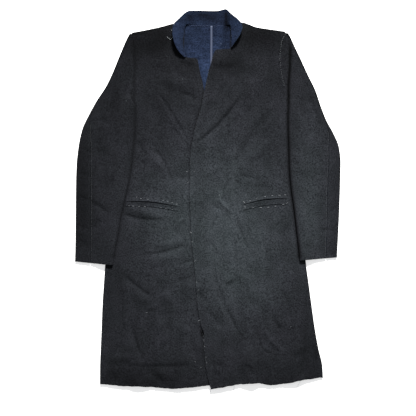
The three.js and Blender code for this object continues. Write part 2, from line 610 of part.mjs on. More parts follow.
// The under piece of the sleeve: from the hindarm seam round the outer fold and along the floor to
// the forearm seam, or at the armhole to the back's edge.
function sleeveUnderGrid(table, edgeOf) {
  const curves = sleeveCurves(table);
  const quarter = (sleeveRollRadius * Math.PI) / 2;
  return sectionNumbers(table, sleeveStep).map((section) => {
    const s = sleeveSection(curves, section, edgeOf);
    const roundTheFold = (along) => {
      const limit = Math.PI / 2;
      const angle = THREE.MathUtils.clamp(along / sleeveRollRadius, -limit, limit);
      const flat = Math.max(0, Math.abs(along) - quarter);
      const d = halfWall + sleeveRollRadius * (1 - Math.cos(angle)) + flat;
      return s.at(d, sleeveUnderLevel + sleeveRollRadius * (1 - Math.sin(angle)));
    };
    const backStrip = Math.max(s.seamIn - seamGap, 1.2);
    const row = [];
    for (let k = 0; k < sleeveBackStripColumns; k++) {
      const share = k / sleeveBackStripColumns;
      row.push(roundTheFold(THREE.MathUtils.lerp(-backStrip, -quarter / 2, share)));
    }
    for (let k = 0; k < rollSteps; k++) {
      const share = (k + 0.5) / rollSteps;
      row.push(roundTheFold(THREE.MathUtils.lerp(-quarter / 2, quarter, share)));
    }
    const first = halfWall + sleeveRollRadius + 0.6;
    const endX = s.bodyEdge - THREE.MathUtils.lerp(forearmSeamOut + 0.5, 1 + armholeGap, s.above);
    const end = Math.max(s.distanceTo(endX), first + 2);
    for (let k = 0; k <= sleeveFloorColumns; k++) {
      row.push(s.at(THREE.MathUtils.lerp(first, end, k / sleeveFloorColumns), sleeveUnderLevel));
    }
    return row;
  });
}

// The collar band, from its seam to its free edge, rolled outwards a little as it rises.
function collarGrid() {
  const seam = curveOf(collarSections, "seamX", "seamY", "seamZ");
  const free = curveOf(collarSections, "freeX", "freeY", "freeZ");
  return sectionNumbers(collarSections, collarStep).map((section) => {
    const [a, b] = [seam(section), free(section)];
    const bulge = collarBulge * Math.max(0, b.z - a.z);
    return Array.from({ length: collarColumns + 1 }, (_, k) => {
      const share = k / collarColumns;
      const p = a.clone().lerp(b, share);
      p.z += bulge * Math.sin(Math.PI * share);
      return p;
    });
  });
}

// The height of a panel's mesh at a point, read from the triangle that holds it.
function meshHeight(rows, x, y) {
  const point = new THREE.Vector3(x, y, 0);
  const weights = new THREE.Vector3();
  const flat = (p) => new THREE.Vector3(p.x, p.y, 0);
  for (let i = 0; i < rows.length - 1; i++) {
    for (let j = 0; j < rows[i].length - 1; j++) {
      const quad = [rows[i][j], rows[i][j + 1], rows[i + 1][j + 1], rows[i + 1][j]];
      for (const [a, b, c] of [[quad[0], quad[1], quad[2]], [quad[0], quad[2], quad[3]]]) {
        const found = THREE.Triangle.getBarycoord(point, flat(a), flat(b), flat(c), weights);
        if (found && Math.min(weights.x, weights.y, weights.z) > -1e-6)
          return weights.x * a.z + weights.y * b.z + weights.z * c.z;
      }
    }
  }
  return frontLevel;
}

// A strip along one side of a pocket mouth, laid on the front. reach is signed, up or down the coat.
function pocketStripGrid(pocket, panel, reach) {
  const away = Math.sign(reach) * (slitWidth / 2);
  return [0, 0.5, 1].map((across) =>
    Array.from({ length: pocketSteps + 1 }, (_, k) => {
      const along = k / pocketSteps;
      const x = THREE.MathUtils.lerp(pocket.x0, pocket.x1, along);
      const mouth = THREE.MathUtils.lerp(pocket.y0, pocket.y1, along);
      const y = mouth + pocket.bow * Math.sin(Math.PI * along) + away + across * (reach - away);
      const z = meshHeight(panel, x, y) + halfWall + stripAir + jetThickness / 2;
      return new THREE.Vector3(x, y, z);
    }),
  );
}

// Finishes of the cloth.
const blackWool = { color: 0x26292c, roughness: 0.95, metalness: 0 };
const navyWool = { color: 0x2c3650, roughness: 0.95, metalness: 0 };
const blueTape = { color: 0x6f7fa6, roughness: 0.8, metalness: 0 };

function piece(name, rows, thickness, finish) {
  const mesh = new THREE.Mesh(wallGeometry(rows, thickness), new THREE.MeshStandardMaterial(finish));
  mesh.name = name;
  return mesh;
}

const coat = new THREE.Group();

const rightFront = frontGrid(rightFrontSections, bodyRightEdge, 1, rightFrontHeight);
const leftFront = reversed(frontGrid(leftFrontSections, bodyLeftEdge, -1, leftFrontHeight));
coat.add(piece("front_right", rightFront, clothThickness, blackWool));
coat.add(piece("front_left", leftFront, clothThickness, blackWool));

const rightBack = backGrid("rightY", bodyRightEdge, 1);
const leftBack = reversed(backGrid("leftY", bodyLeftEdge, -1));
coat.add(piece("back_right", rightBack, clothThickness, blackWool));
coat.add(piece("back_left", leftBack, clothThickness, blackWool));

const tapeEnds = [-505, -260, -20, 220, 350, 420, 476];
const tapeRows = tapeEnds.map((y) =>
  [-0.5, 0.5].map((side) => {
    const z = 2 * backLevel + seamGap + tapeThickness / 2;
    return new THREE.Vector3(centreBack + side * tapeWidth, y, z);
  }),
);
coat.add(piece("back_seam_tape", tapeRows, tapeThickness, blueTape));

const mirroredLeftEdge = (y) => -bodyLeftEdge(y);
const sleeves = [
  { side: "right", table: rightSleeveSections, edgeOf: bodyRightEdge, place: (rows) => rows },
  { side: "left", table: leftSleeveSections, edgeOf: mirroredLeftEdge, place: mirrored },
];
for (const { side, table, edgeOf, place } of sleeves) {
  const upper = place(sleeveUpperGrid(table, edgeOf));
  const under = place(sleeveUnderGrid(table, edgeOf));
  coat.add(piece(`sleeve_upper_${side}`, upper, clothThickness, blackWool));
  coat.add(piece(`sleeve_under_${side}`, under, clothThickness, blackWool));
}

coat.add(piece("collar", collarGrid(), clothThickness, navyWool));

for (const pocket of pockets) {
  const panel = pocket.side === "right" ? rightFront : leftFront;
  const upper = pocketStripGrid(pocket, panel, pocket.upper);
  const lower = pocketStripGrid(pocket, panel, -pocket.lower).reverse();
  coat.add(piece(`pocket_strip_upper_${pocket.side}`, upper, jetThickness, blackWool));
  coat.add(piece(`pocket_strip_lower_${pocket.side}`, lower, jetThickness, blackWool));
}

export default coat;
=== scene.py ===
import math
import bpy
import numpy as np
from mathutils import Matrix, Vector


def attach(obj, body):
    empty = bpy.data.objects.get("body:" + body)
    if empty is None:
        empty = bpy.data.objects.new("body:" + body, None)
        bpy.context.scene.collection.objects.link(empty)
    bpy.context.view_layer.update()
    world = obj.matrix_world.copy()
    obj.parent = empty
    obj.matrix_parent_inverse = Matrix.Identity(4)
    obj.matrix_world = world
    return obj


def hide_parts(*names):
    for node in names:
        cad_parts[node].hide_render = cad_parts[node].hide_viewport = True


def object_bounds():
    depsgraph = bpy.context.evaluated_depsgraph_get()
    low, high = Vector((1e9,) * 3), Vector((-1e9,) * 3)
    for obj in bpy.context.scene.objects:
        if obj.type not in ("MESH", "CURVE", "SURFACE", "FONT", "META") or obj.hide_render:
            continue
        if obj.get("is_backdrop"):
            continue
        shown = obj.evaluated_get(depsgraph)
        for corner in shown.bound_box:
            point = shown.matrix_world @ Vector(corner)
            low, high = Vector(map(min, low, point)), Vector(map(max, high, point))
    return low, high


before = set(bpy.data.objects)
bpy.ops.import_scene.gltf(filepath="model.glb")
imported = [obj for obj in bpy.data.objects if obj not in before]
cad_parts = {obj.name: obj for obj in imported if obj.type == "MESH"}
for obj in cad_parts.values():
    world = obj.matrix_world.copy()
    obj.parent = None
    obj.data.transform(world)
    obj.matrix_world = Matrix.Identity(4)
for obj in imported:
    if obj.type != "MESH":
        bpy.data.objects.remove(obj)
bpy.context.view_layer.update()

toMetres = 0.001
rng = np.random.default_rng(17)

# Camera, light and floor.

view = {"across": 1144, "middleX": 0.3, "middleY": -24.2, "height": 6000, "sensor": 36}
keyLight = {"place": (0.7, 5.55, 3.85), "size": 1.2, "power": 1400, "colour": (1.0, 0.99, 0.97)}
studio = {"skyStrength": 0.32, "skyColour": (0.95, 0.97, 1.0, 1), "boardGlow": 0.55}
board = {"half": 30000, "below": 0.4}


def makeCamera():
    # Straight above; the lens is sensor times height over the width that the picture takes in.
    data = bpy.data.cameras.new("overheadCamera")
    data.sensor_width = view["sensor"]
    data.lens = view["sensor"] * view["height"] / view["across"]
    data.clip_end = 60
    camera = bpy.data.objects.new("overheadCamera", data)
    camera.location = (view["middleX"] * toMetres, view["middleY"] * toMetres, view["height"] * toMetres)
    bpy.context.collection.objects.link(camera)
    bpy.context.scene.camera = camera


def areaLight(name, place, size, power, colour):
    # A round lamp turned to the origin.
    data = bpy.data.lights.new(name, "AREA")
    data.shape, data.size, data.energy, data.color = "DISK", size, power, colour
    lamp = bpy.data.objects.new(name, data)
    lamp.location = place
    lamp.rotation_euler = (-Vector(place)).to_track_quat("-Z", "Y").to_euler()
    bpy.context.collection.objects.link(lamp)


# Small tools for shapes.


def smoothBetween(keys, values, at):
    # Cubic between keys whose slope at a key is the harmonic mean of its neighbours, so it never overshoots.
    keys, values = np.asarray(keys, float), np.asarray(values, float)
    span = np.diff(keys)
    slope = np.diff(values) / span
    tangent = np.zeros_like(values)
    before, after = slope[:-1], slope[1:]
    same = before * after > 0
    tangent[1:-1] = np.where(same, 2 * before * after / np.where(same, before + after, 1), 0)
    at = np.clip(at, keys[0], keys[-1])
    i = np.clip(np.searchsorted(keys, at, side="right") - 1, 0, len(keys) - 2)
    t = (at - keys[i]) / span[i]
    t2, t3 = t * t, t * t * t
    return (
        (2 * t3 - 3 * t2 + 1) * values[i]
        + (t3 - 2 * t2 + t) * span[i] * tangent[i]
        + (3 * t2 - 2 * t3) * values[i + 1]
        + (t3 - t2) * span[i] * tangent[i + 1]
    )


def rowsOf(names, rows):
    # Each row as a dictionary under the column names.
    return [dict(zip(names.split(), row)) for row in rows]


def column(table, name):
    return np.array([row[name] for row in table], float)


def lookUp(table, key, name, at):
    return smoothBetween(column(table, key), column(table, name), at)


def bySection(table, name, section):
    return smoothBetween(np.arange(len(table)), column(table, name), section)


def ease(t):
    # 0 to 1 with level ends.
    t = np.clip(t, 0, 1)
    return t * t * (3 - 2 * t)


def blend(a, b, t):
    return a + (b - a) * t


def beside(*parts):
    return np.concatenate(parts, axis=1)


def valueNoise(x, y, size, seed):
    # Random heights from -1 to 1 on a square lattice of the given size, eased between its points.
    gx, gy = x / size, y / size
    ix, iy = np.floor(gx), np.floor(gy)
    fx, fy = ease(gx - ix), ease(gy - iy)

    def corner(i, j):
        h = np.sin(i * 127.1 + j * 311.7 + seed * 74.7) * 43758.5453
        return 2 * (h - np.floor(h)) - 1

    low = blend(corner(ix, iy), corner(ix + 1, iy), fx)
    high = blend(corner(ix, iy + 1), corner(ix + 1, iy + 1), fx)
    return blend(low, high, fy)


def noiseLayers(x, y, layers, seed):
    # Sum of the layers, each its height times a noise of its size.
    total = 0
    for k, (height, size) in enumerate(layers):
        total = total + height * valueNoise(x, y, size, seed + k)
    return total


def sectionRows(table, names, spacing):
    # Section numbers spaced evenly along the mean length of the named outlines, with a close row at each end.
    fine = np.linspace(0, len(table) - 1, 40 * (len(table) - 1) + 1)
    total = np.zeros(len(fine))
    for xName, yName in names:
        x = bySection(table, xName, fine) if xName else np.zeros(len(fine))
        step = np.hypot(np.diff(x), np.diff(bySection(table, yName, fine)))
        total[1:] += np.cumsum(step) / len(names)
    marks = np.linspace(0, total[-1], round(total[-1] / spacing) + 1)
    marks = np.sort(np.append(marks, [1.2, total[-1] - 1.2]))
    return np.interp(marks, total, fine)


def shares(count, close=0.004):
    # Even shares from 0 to 1 with one close to each end, which keeps the cloth's edge crisp.
    return np.sort(np.append(np.linspace(0, 1, count), [close, 1 - close]))


# Cloth.


def gridNormals(points):
    # Unit vector square to the two directions of the grid.
    across, along = np.gradient(points, axis=1), np.gradient(points, axis=0)
    normal = np.cross(across, along)
    return normal / np.maximum(np.linalg.norm(normal, axis=2, keepdims=True), 1e-9)


def clothWall(name, points, thickness, outerFinish, innerFinish, toneAndShade=None, rimBulge=0.35):
    # A closed wall: the grid moved half the thickness to both sides, and a rim bulged out round its edge.
    rows, columns = points.shape[:2]
    normal = gridNormals(points)
    outer = points + normal * thickness / 2
    inner = points - normal * thickness / 2
    number = np.arange(rows * columns).reshape(rows, columns)
    ring = np.concatenate([number[0, :], number[1:, -1], number[-1, -2::-1], number[-2:0:-1, 0]])
    inside = np.concatenate([number[1, :], number[1:, -2], number[-2, -2::-1], number[-2:0:-1, 1]])
    flat = points.reshape(-1, 3)
    outward = flat[ring] - flat[inside]
    outward /= np.maximum(np.linalg.norm(outward, axis=1, keepdims=True), 1e-9)
    rough = 1 + 0.6 * rng.uniform(-1, 1, (len(ring), 1))
    rim = flat[ring] + outward * rimBulge * rough
    size = rows * columns
    places = np.concatenate([outer.reshape(-1, 3), inner.reshape(-1, 3), rim])
    a, b, c, d = number[:-1, :-1], number[:-1, 1:], number[1:, 1:], number[1:, :-1]
    top = np.stack([a, b, c, d], -1).reshape(-1, 4)
    bottom = np.stack([a, d, c, b], -1).reshape(-1, 4) + size
    ringNumber = 2 * size + np.arange(len(ring))
    nextRing, nextNumber = np.roll(ring, -1), np.roll(ringNumber, -1)
    upper = np.stack([ring, ringNumber, nextNumber, nextRing], -1)
    lower = np.stack([ringNumber, ring + size, nextRing + size, nextNumber], -1)
    faces = np.concatenate([top, upper, bottom, lower])
    slots = np.repeat([0, 0, 1, 1], [len(top), len(upper), len(bottom), len(lower)])
    piece = meshPiece(name, places, faces, [outerFinish, innerFinish], slots)
    lengthAcross = np.linalg.norm(np.diff(points, axis=1), axis=2).cumsum(axis=1)
    u = beside(np.zeros((rows, 1)), lengthAcross)
    v = np.linalg.norm(np.diff(points, axis=0), axis=2).mean(axis=1).cumsum()
    v = np.broadcast_to(np.concatenate([[0], v])[:, None], (rows, columns))
    plane = np.stack([u, v], -1).reshape(-1, 2) * toMetres
    layer = piece.data.uv_layers.new(name="cloth")
    perVertex = np.concatenate([plane, plane, plane[ring]])
    layer.data.foreach_set("uv", perVertex[faces.reshape(-1)].reshape(-1).astype(np.float32))
    # Per-vertex tone for the colour: lighter and darker areas, with painted shade and painted highlights.
    values = np.ones(size) if toneAndShade is None else toneAndShade.reshape(-1)
    pale = piece.data.attributes.new("toneAndShade", "FLOAT", "POINT")
    pale.data.foreach_set("value", np.concatenate([values, values, values[ring]]).astype(np.float32))
    return piece


def meshPiece(name, places, faces, finishes, slots=None):
    # A mesh object at the origin, smooth, with its place in its vertices.
    mesh = bpy.data.meshes.new(name)
    mesh.vertices.add(len(places))
    mesh.vertices.foreach_set("co", (places * toMetres).astype(np.float32).reshape(-1))
    sides = faces.shape[1]
    mesh.loops.add(faces.size)
    mesh.loops.foreach_set("vertex_index", faces.reshape(-1).astype(np.int32))
    mesh.polygons.add(len(faces))
    mesh.polygons.foreach_set("loop_start", np.arange(0, faces.size, sides, dtype=np.int32))
    for finish in finishes:
        mesh.materials.append(finish)
    if slots is not None:
        mesh.polygons.foreach_set("material_index", slots.astype(np.int32))
    mesh.polygons.foreach_set("use_smooth", np.ones(len(faces), bool))
    mesh.update(calc_edges=True)
    mesh.validate()
    piece = bpy.data.objects.new(name, mesh)
    bpy.context.collection.objects.link(piece)
    return piece


def tubes(name, paths, radius, finish, sides=6):
    # Round threads along paths of equal point count: rings square to the path, closed at both ends.
    paths = np.asarray(paths, float)
    count, steps = paths.shape[:2]
    along = np.gradient(paths, axis=1)
    along /= np.maximum(np.linalg.norm(along, axis=2, keepdims=True), 1e-9)
    sideways = np.cross(along, [0.05, 0.03, 1.0])
    sideways /= np.maximum(np.linalg.norm(sideways, axis=2, keepdims=True), 1e-9)
    upright = np.cross(sideways, along)
    angle = np.linspace(0, 2 * np.pi, sides, endpoint=False)
    taper = np.ones(steps)
    taper[[0, -1]] = 0.35
    reach = np.reshape(radius, (-1, 1, 1, 1)) * taper[None, :, None, None]
    rings = paths[:, :, None] + reach * (
        np.cos(angle)[None, None, :, None] * sideways[:, :, None]
        + np.sin(angle)[None, None, :, None] * upright[:, :, None]
    )
    number = np.arange(count * steps * sides).reshape(count, steps, sides)
    a, b = number[:, :-1], np.roll(number[:, :-1], -1, axis=2)
    c, d = np.roll(number[:, 1:], -1, axis=2), number[:, 1:]
    walls = np.stack([a, d, c, b], -1).reshape(-1, 4)
    ends = []
    for cap in (number[:, 0], number[:, -1, ::-1]):
        for k in range(1, sides - 2, 2):
            ends.append(np.stack([cap[:, 0], cap[:, k], cap[:, k + 1], cap[:, k + 2]], -1))
    faces = np.concatenate([walls] + ends)
    return meshPiece(name, rings.reshape(-1, 3), faces, [finish])


# Cloth finishes.


def linearColour(hexCode):
    # sRGB hex to linear light.
    parts = [int(hexCode[i : i + 2], 16) / 255 for i in (1, 3, 5)]
    return [p / 12.92 if p <= 0.04045 else ((p + 0.055) / 1.055) ** 2.4 for p in parts] + [1]


def addNode(tree, kind, settings=None, inputs=None):
    # One node: settings are its own properties, inputs are values or sockets to link.
    node = tree.nodes.new(kind)
    for key, value in (settings or {}).items():
        setattr(node, key, value)
    for key, value in (inputs or {}).items():
        if isinstance(value, bpy.types.NodeSocket):
            tree.links.new(value, node.inputs[key])
        else:
            node.inputs[key].default_value = value
    return node


def newMaterial(name, values):
    # An empty material with one shader, which gets these values, on its output.
    material = bpy.data.materials.new(name)
    material.use_nodes = True
    tree = material.node_tree
    tree.nodes.clear()
    shader = addNode(tree, "ShaderNodeBsdfPrincipled", inputs=values)
    addNode(tree, "ShaderNodeOutputMaterial", inputs={"Surface": shader.outputs[0]})
    return material, tree, shader


def milledWool(name, look):
    # Milled woollen cloth: felted fibres hide the weave, so it is matt and pebbly, with cloudy rubbed
    # patches, faint streaks along the cloth and specks of lint.
    material, tree, shader = newMaterial(name, {
        "Roughness": look["roughness"], "IOR": 1.5, "Specular IOR Level": look["specular"],
        "Sheen Weight": look["sheen"], "Sheen Roughness": 0.5,
        "Sheen Tint": linearColour(look["sheenColour"]),
    })
    place = addNode(tree, "ShaderNodeTexCoord").outputs["Object"]
    lengthways = addNode(tree, "ShaderNodeMapping", inputs={"Vector": place, "Scale": (1.0, 0.16, 1.0)})
    crossways = addNode(tree, "ShaderNodeMapping", inputs={"Vector": place, "Scale": (0.2, 1.0, 1.0)})
    patterns = {
        "pebble": (place, 2.5), "cloud": (place, 3.0), "tinge": (place, 2.0), "fibre": (place, 2.0),
        "streak": (lengthways.outputs[0], 2.0), "weft": (crossways.outputs[0], 1.5),
    }
    noise = {}
    for part, (coordinate, detail) in patterns.items():
        values = {"Vector": coordinate, "Scale": 1000 / look[part], "Detail": detail, "Roughness": 0.55}
        noise[part] = addNode(tree, "ShaderNodeTexNoise", inputs=values).outputs["Fac"]
    # Each pattern is spread from its middle: to the share of pale fibres, or to a depth either side of 1.
    spread = {
        "pebble": (0.5 - look["contrast"], 0.5 + look["contrast"], 0.0, 1.0), "tinge": (0.35, 0.65, 0.0, 1.0),
    }
    for part in ("cloud", "streak", "weft"):
        spread[part] = (0.3, 0.7, 1 - look[part + "Depth"], 1 + look[part + "Depth"])
    share = {}
    for part, limits in spread.items():
        values = {"Value": noise[part], **dict(zip(("From Min", "From Max", "To Min", "To Max"), limits))}
        share[part] = addNode(tree, "ShaderNodeMapRange", inputs=values).outputs[0]
    colours, times = {"data_type": "RGBA"}, {"operation": "MULTIPLY"}
    values = {0: share["pebble"], 6: linearColour(look["deep"]), 7: linearColour(look["pale"])}
    fibres = addNode(tree, "ShaderNodeMix", colours, values).outputs[2]
    tints = {}
    for part in ("cool", "warm"):
        values = {0: 1.0, 6: fibres, 7: linearColour(look[part])}
        tints[part] = addNode(tree, "ShaderNodeMix", {**colours, "blend_type": "MULTIPLY"}, values).outputs[2]
    # The mesh's tone: lighter and darker areas, with painted shade and painted highlights. Brighter cloth
    # keeps mostly the cool tint, darker cloth turns mostly to the warm one, and a noise moves it between the
    # two.
    litAndShadedTone = addNode(tree, "ShaderNodeAttribute", {"attribute_name": "toneAndShade"}).outputs["Fac"]
    values = {"Value": litAndShadedTone, "From Min": 0.72, "From Max": 0.35}
    darkShare = addNode(tree, "ShaderNodeMapRange", inputs=values).outputs[0]
    tinge = addNode(tree, "ShaderNodeMix", inputs={0: 0.3, 2: darkShare, 3: share["tinge"]}).outputs[0]
    values = {0: tinge, 6: tints["cool"], 7: tints["warm"]}
    tinged = addNode(tree, "ShaderNodeMix", colours, values).outputs[2]
    for part in ("cloud", "streak", "weft"):
        litAndShadedTone = addNode(tree, "ShaderNodeMath", times, {0: litAndShadedTone, 1: share[part]}).outputs[0]
    values = {"Vector": tinged, "Scale": litAndShadedTone}
    toned = addNode(tree, "ShaderNodeVectorMath", {"operation": "SCALE"}, values).outputs[0]
    # Lint: the middles of a few cells.
    values = {"Vector": place, "Scale": 1000 / look["lintSpacing"], "Randomness": 1.0}
    cells = addNode(tree, "ShaderNodeTexVoronoi", {"feature": "F1"}, values)
    lot = addNode(tree, "ShaderNodeSeparateColor", inputs={0: cells.outputs["Color"]}).outputs[0]
    values = {0: lot, 1: 1 - look["lintShare"]}
    chosen = addNode(tree, "ShaderNodeMath", {"operation": "GREATER_THAN"}, values).outputs[0]
    values = {0: cells.outputs["Distance"], 1: look["lintSize"]}
    near = addNode(tree, "ShaderNodeMath", {"operation": "LESS_THAN"}, values).outputs[0]
    speck = addNode(tree, "ShaderNodeMath", times, {0: chosen, 1: near}).outputs[0]
    values = {0: speck, 6: toned, 7: linearColour(look["lint"])}
    colour = addNode(tree, "ShaderNodeMix", colours, values).outputs[2]
    tree.links.new(colour, shader.inputs["Base Color"])
    relief = {}
    for part in ("pebble", "fibre"):
        values = {0: noise[part], 1: look[part + "Depth"]}
        relief[part] = addNode(tree, "ShaderNodeMath", times, values).outputs[0]
    values = {0: relief["pebble"], 1: relief["fibre"]}
    height = addNode(tree, "ShaderNodeMath", {"operation": "ADD"}, values).outputs[0]
    bump = addNode(tree, "ShaderNodeBump", inputs={"Height": height, "Strength": 1.0, "Distance": 0.001})
    tree.links.new(bump.outputs[0], shader.inputs["Normal"])
    return material


# Black face. Pattern sizes are in millimetres; depths are shares of brightness, or millimetres of relief.
# Felted tufts are about 1 mm across and are drawn at 3.2 so that they show.
blackFace = {
    "deep": "#1a1c1f", "pale": "#414548", "cool": "#f6feff", "warm": "#f9f3ff", "lint": "#53595b",
    "sheenColour": "#9aa3a8", "pebble": 3.2, "contrast": 0.2, "cloud": 60, "streak": 22, "weft": 18,
    "tinge": 60, "fibre": 1.5, "cloudDepth": 0.14, "streakDepth": 0.12, "weftDepth": 0.06,
    "pebbleDepth": 0.8, "fibreDepth": 0.3, "lintSpacing": 14, "lintShare": 0.03, "lintSize": 0.06,
    "roughness": 0.95, "specular": 0.06, "sheen": 0.015,
}
# Navy face: the same cloth's inner side, a little smoother.
navyFace = {
    "deep": "#090f1b", "pale": "#1f283b", "cool": "#f8fdff", "warm": "#fff9ff", "lint": "#5a616d",
    "sheenColour": "#8b97b4", "pebble": 3.2, "contrast": 0.22, "cloud": 30, "streak": 20, "weft": 9,
    "tinge": 60, "fibre": 1.5, "cloudDepth": 0.2, "streakDepth": 0.12, "weftDepth": 0.24,
    "pebbleDepth": 0.9, "fibreDepth": 0.3, "lintSpacing": 12, "lintShare": 0.03, "lintSize": 0.07,
    "roughness": 0.95, "specular": 0.06, "sheen": 0.015,
}


def ribbed(name, hexCode, look):
    # Bands across the piece, from a darker share of the colour up to the colour, with relief to match.
    material, tree, shader = newMaterial(name, {"Roughness": look["roughness"]})
    place = addNode(tree, "ShaderNodeTexCoord").outputs["Object"]
    bands = {"wave_type": "BANDS", "bands_direction": look["bands"]}
    values = {name: look[name.lower()] for name in ("Scale", "Distortion", "Detail")}
    values["Vector"] = place
    ribs = worn = addNode(tree, "ShaderNodeTexWave", bands, values).outputs["Fac"]
    if look["cloud"]:
        values = {"Vector": place, "Scale": look["cloud"]}
        cloud = addNode(tree, "ShaderNodeTexNoise", inputs=values).outputs["Fac"]
        worn = addNode(tree, "ShaderNodeMath", {"operation": "MULTIPLY"}, {0: ribs, 1: cloud}).outputs[0]
    full = linearColour(hexCode)
    values = {0: worn, 6: [c * look["dark"] for c in full[:3]] + [1], 7: full}
    colour = addNode(tree, "ShaderNodeMix", {"data_type": "RGBA"}, values).outputs[2]
    tree.links.new(colour, shader.inputs["Base Color"])
    values = {"Height": ribs, "Strength": look["relief"], "Distance": 0.0002}
    bump = addNode(tree, "ShaderNodeBump", inputs=values)
    tree.links.new(bump.outputs[0], shader.inputs["Normal"])
    return material


# Spun sewing thread: two plies twisted, so bands slant across it; matt, a little fuzzy.
cotton = {
    "bands": "DIAGONAL", "scale": 420.0, "distortion": 1.5, "detail": 2.0, "cloud": 0, "dark": 0.7,
    "relief": 0.6, "roughness": 0.8,
}
# Woven bonding tape pressed on with heat: fine cross ribs and a slight sheen.
bonded = {
    "bands": "Y", "scale": 200.0, "distortion": 0.6, "detail": 1.0, "cloud": 60.0, "dark": 0.72,
    "relief": 0.5, "roughness": 0.7,
}


def paleFloor(name):
    # Matt white light board, lit from below so that shadows on it stay pale: almost even, the faintest tooth.
    material, tree, shader = newMaterial(name, {
        "Base Color": linearColour("#f4f4f3"), "Roughness": 0.9, "Specular IOR Level": 0.1,
        "Emission Color": (1, 1, 1, 1), "Emission Strength": studio["boardGlow"],
    })
    place = addNode(tree, "ShaderNodeTexCoord").outputs["Object"]
    tooth = addNode(tree, "ShaderNodeTexNoise", inputs={"Vector": place, "Scale": 300.0}).outputs["Fac"]
    bump = addNode(tree, "ShaderNodeBump", inputs={"Height": tooth, "Strength": 0.1, "Distance": 0.0001})
    tree.links.new(bump.outputs[0], shader.inputs["Normal"])
    return material


blackWool = milledWool("milledWoolBlackFace", blackFace)
navyWool = milledWool("milledWoolNavyFace", navyFace)
greyThread = ribbed("greySewingThread", "#7e8285", cotton)
dimThread = ribbed("dullSewingThread", "#5b5f62", cotton)
blueThread = ribbed("blueSewingThread", "#4c587a", cotton)
seamTape = ribbed("bondedSeamTape", "#323c54", bonded)
print("finishes made")

# Levels of the cloth's middle surfaces, as in the solids.

cloth = {
    "thickness": 2, "seamGap": 0.3, "armholeGap": -0.15, "bodyAir": 1.6, "overlapAir": 0.8, "sleeveAir": 1.2,
    "onFrontAir": 1.2,
}
halfWall = cloth["thickness"] / 2
backLevel = halfWall
frontLevel = backLevel + cloth["thickness"] + cloth["bodyAir"]
lapRise = cloth["thickness"] + cloth["overlapAir"]
sleeveUnderLevel = halfWall
sleeveRise = cloth["thickness"] + cloth["sleeveAir"]
sleeveOnFrontLevel = frontLevel + cloth["thickness"] + cloth["onFrontAir"]
sideRoll = (frontLevel - backLevel) / 2
sleeveRoll = sleeveRise / 2
centreBack = 9.6
armpit = 210

# Outline tables: places along X and Y, one row for each section from hem or cuff up.

bodyEdges = rowsOf("y right left", [
    (-560, -298, 322), (-508, -296.5, 317.5), (-459, -296.2, 314.6), (-412, -294.4, 304.2),
    (-355, -292, 294), (-288, -289.5, 284.6), (-230, -285.7, 276.8), (-176, -282, 269.4), (-100, -275, 262),
    (0, -263, 256), (100, -252, 251), (180, -247.5, 248.5), (210, -246, 248), (228, -236, 238),
    (255, -219, 227), (286, -209, 217.5), (309, -205, 211), (350, -201, 201.6), (392, -199.5, 197.7),
    (434, -204.5, 203), (462, -208, 212),
])

rightFrontSections = rowsOf("sideY edgeX edgeY", [
    (-508.5, 66, -512), (-459, 57, -459), (-385, 44, -385), (-288, 28, -292), (-198, 20, -198),
    (-100, 14, -100), (0, 12, 0), (100, 10.5, 95), (180, 8, 165), (210, 5.5, 204), (255, -1, 248),
    (286, -7.5, 285), (328, -15, 322), (368, -24, 360), (392, -30.5, 386), (414, -58.5, 390),
    (432, -66, 420), (446, -65, 454), (458, -60, 482),
])

leftFrontSections = rowsOf("sideY edgeX edgeY", [
    (-490.3, 8.3, -522), (-459, -6.3, -459), (-385, -13, -385), (-297, -27, -300), (-198, -36, -199),
    (-100, -45.5, -100), (0, -49, 0), (100, -48.7, 96), (180, -41, 165), (210, -31, 210), (255, -19, 248),
    (286, -11.3, 288), (330, -3.5, 326), (370, 8.3, 372), (400, 23.7, 411), (420, 61, 414), (438, 63, 440),
    (450, 62, 462), (461, 60, 482),
])

backSections = rowsOf("rightY leftY centreOut centreY", [
    (-504, -486, 0, -511), (-430, -430, 0, -420), (-288, -288, 0, -280), (-100, -100, 0, -80),
    (60, 60, 0, 90), (170, 170, 0, 220), (210, 210, 0, 275), (255, 255, 0, 325), (300, 300, 0, 375),
    (350, 350, 0, 425), (398, 398, 0, 478.4), (424, 425, 34, 478.6), (441, 443, 52, 480.4),
    (457.5, 460, 66, 482),
])

hemWaves = rowsOf("x drop", [
    (-296, 0), (-228, 4.5), (-160, 6), (-100, 10), (-43, 6), (8, 0), (40, -2), (90, -5), (132, -4),
    (175, 6), (215, 6), (262, 1), (316, 0),
])

shoulderCrown = rowsOf("x rise", [
    (-208, 0), (-163, 1), (-127, 3), (-95, 6), (-60, 0), (60, 0), (96, 7), (138, 0), (180, 0), (212, 0),
])

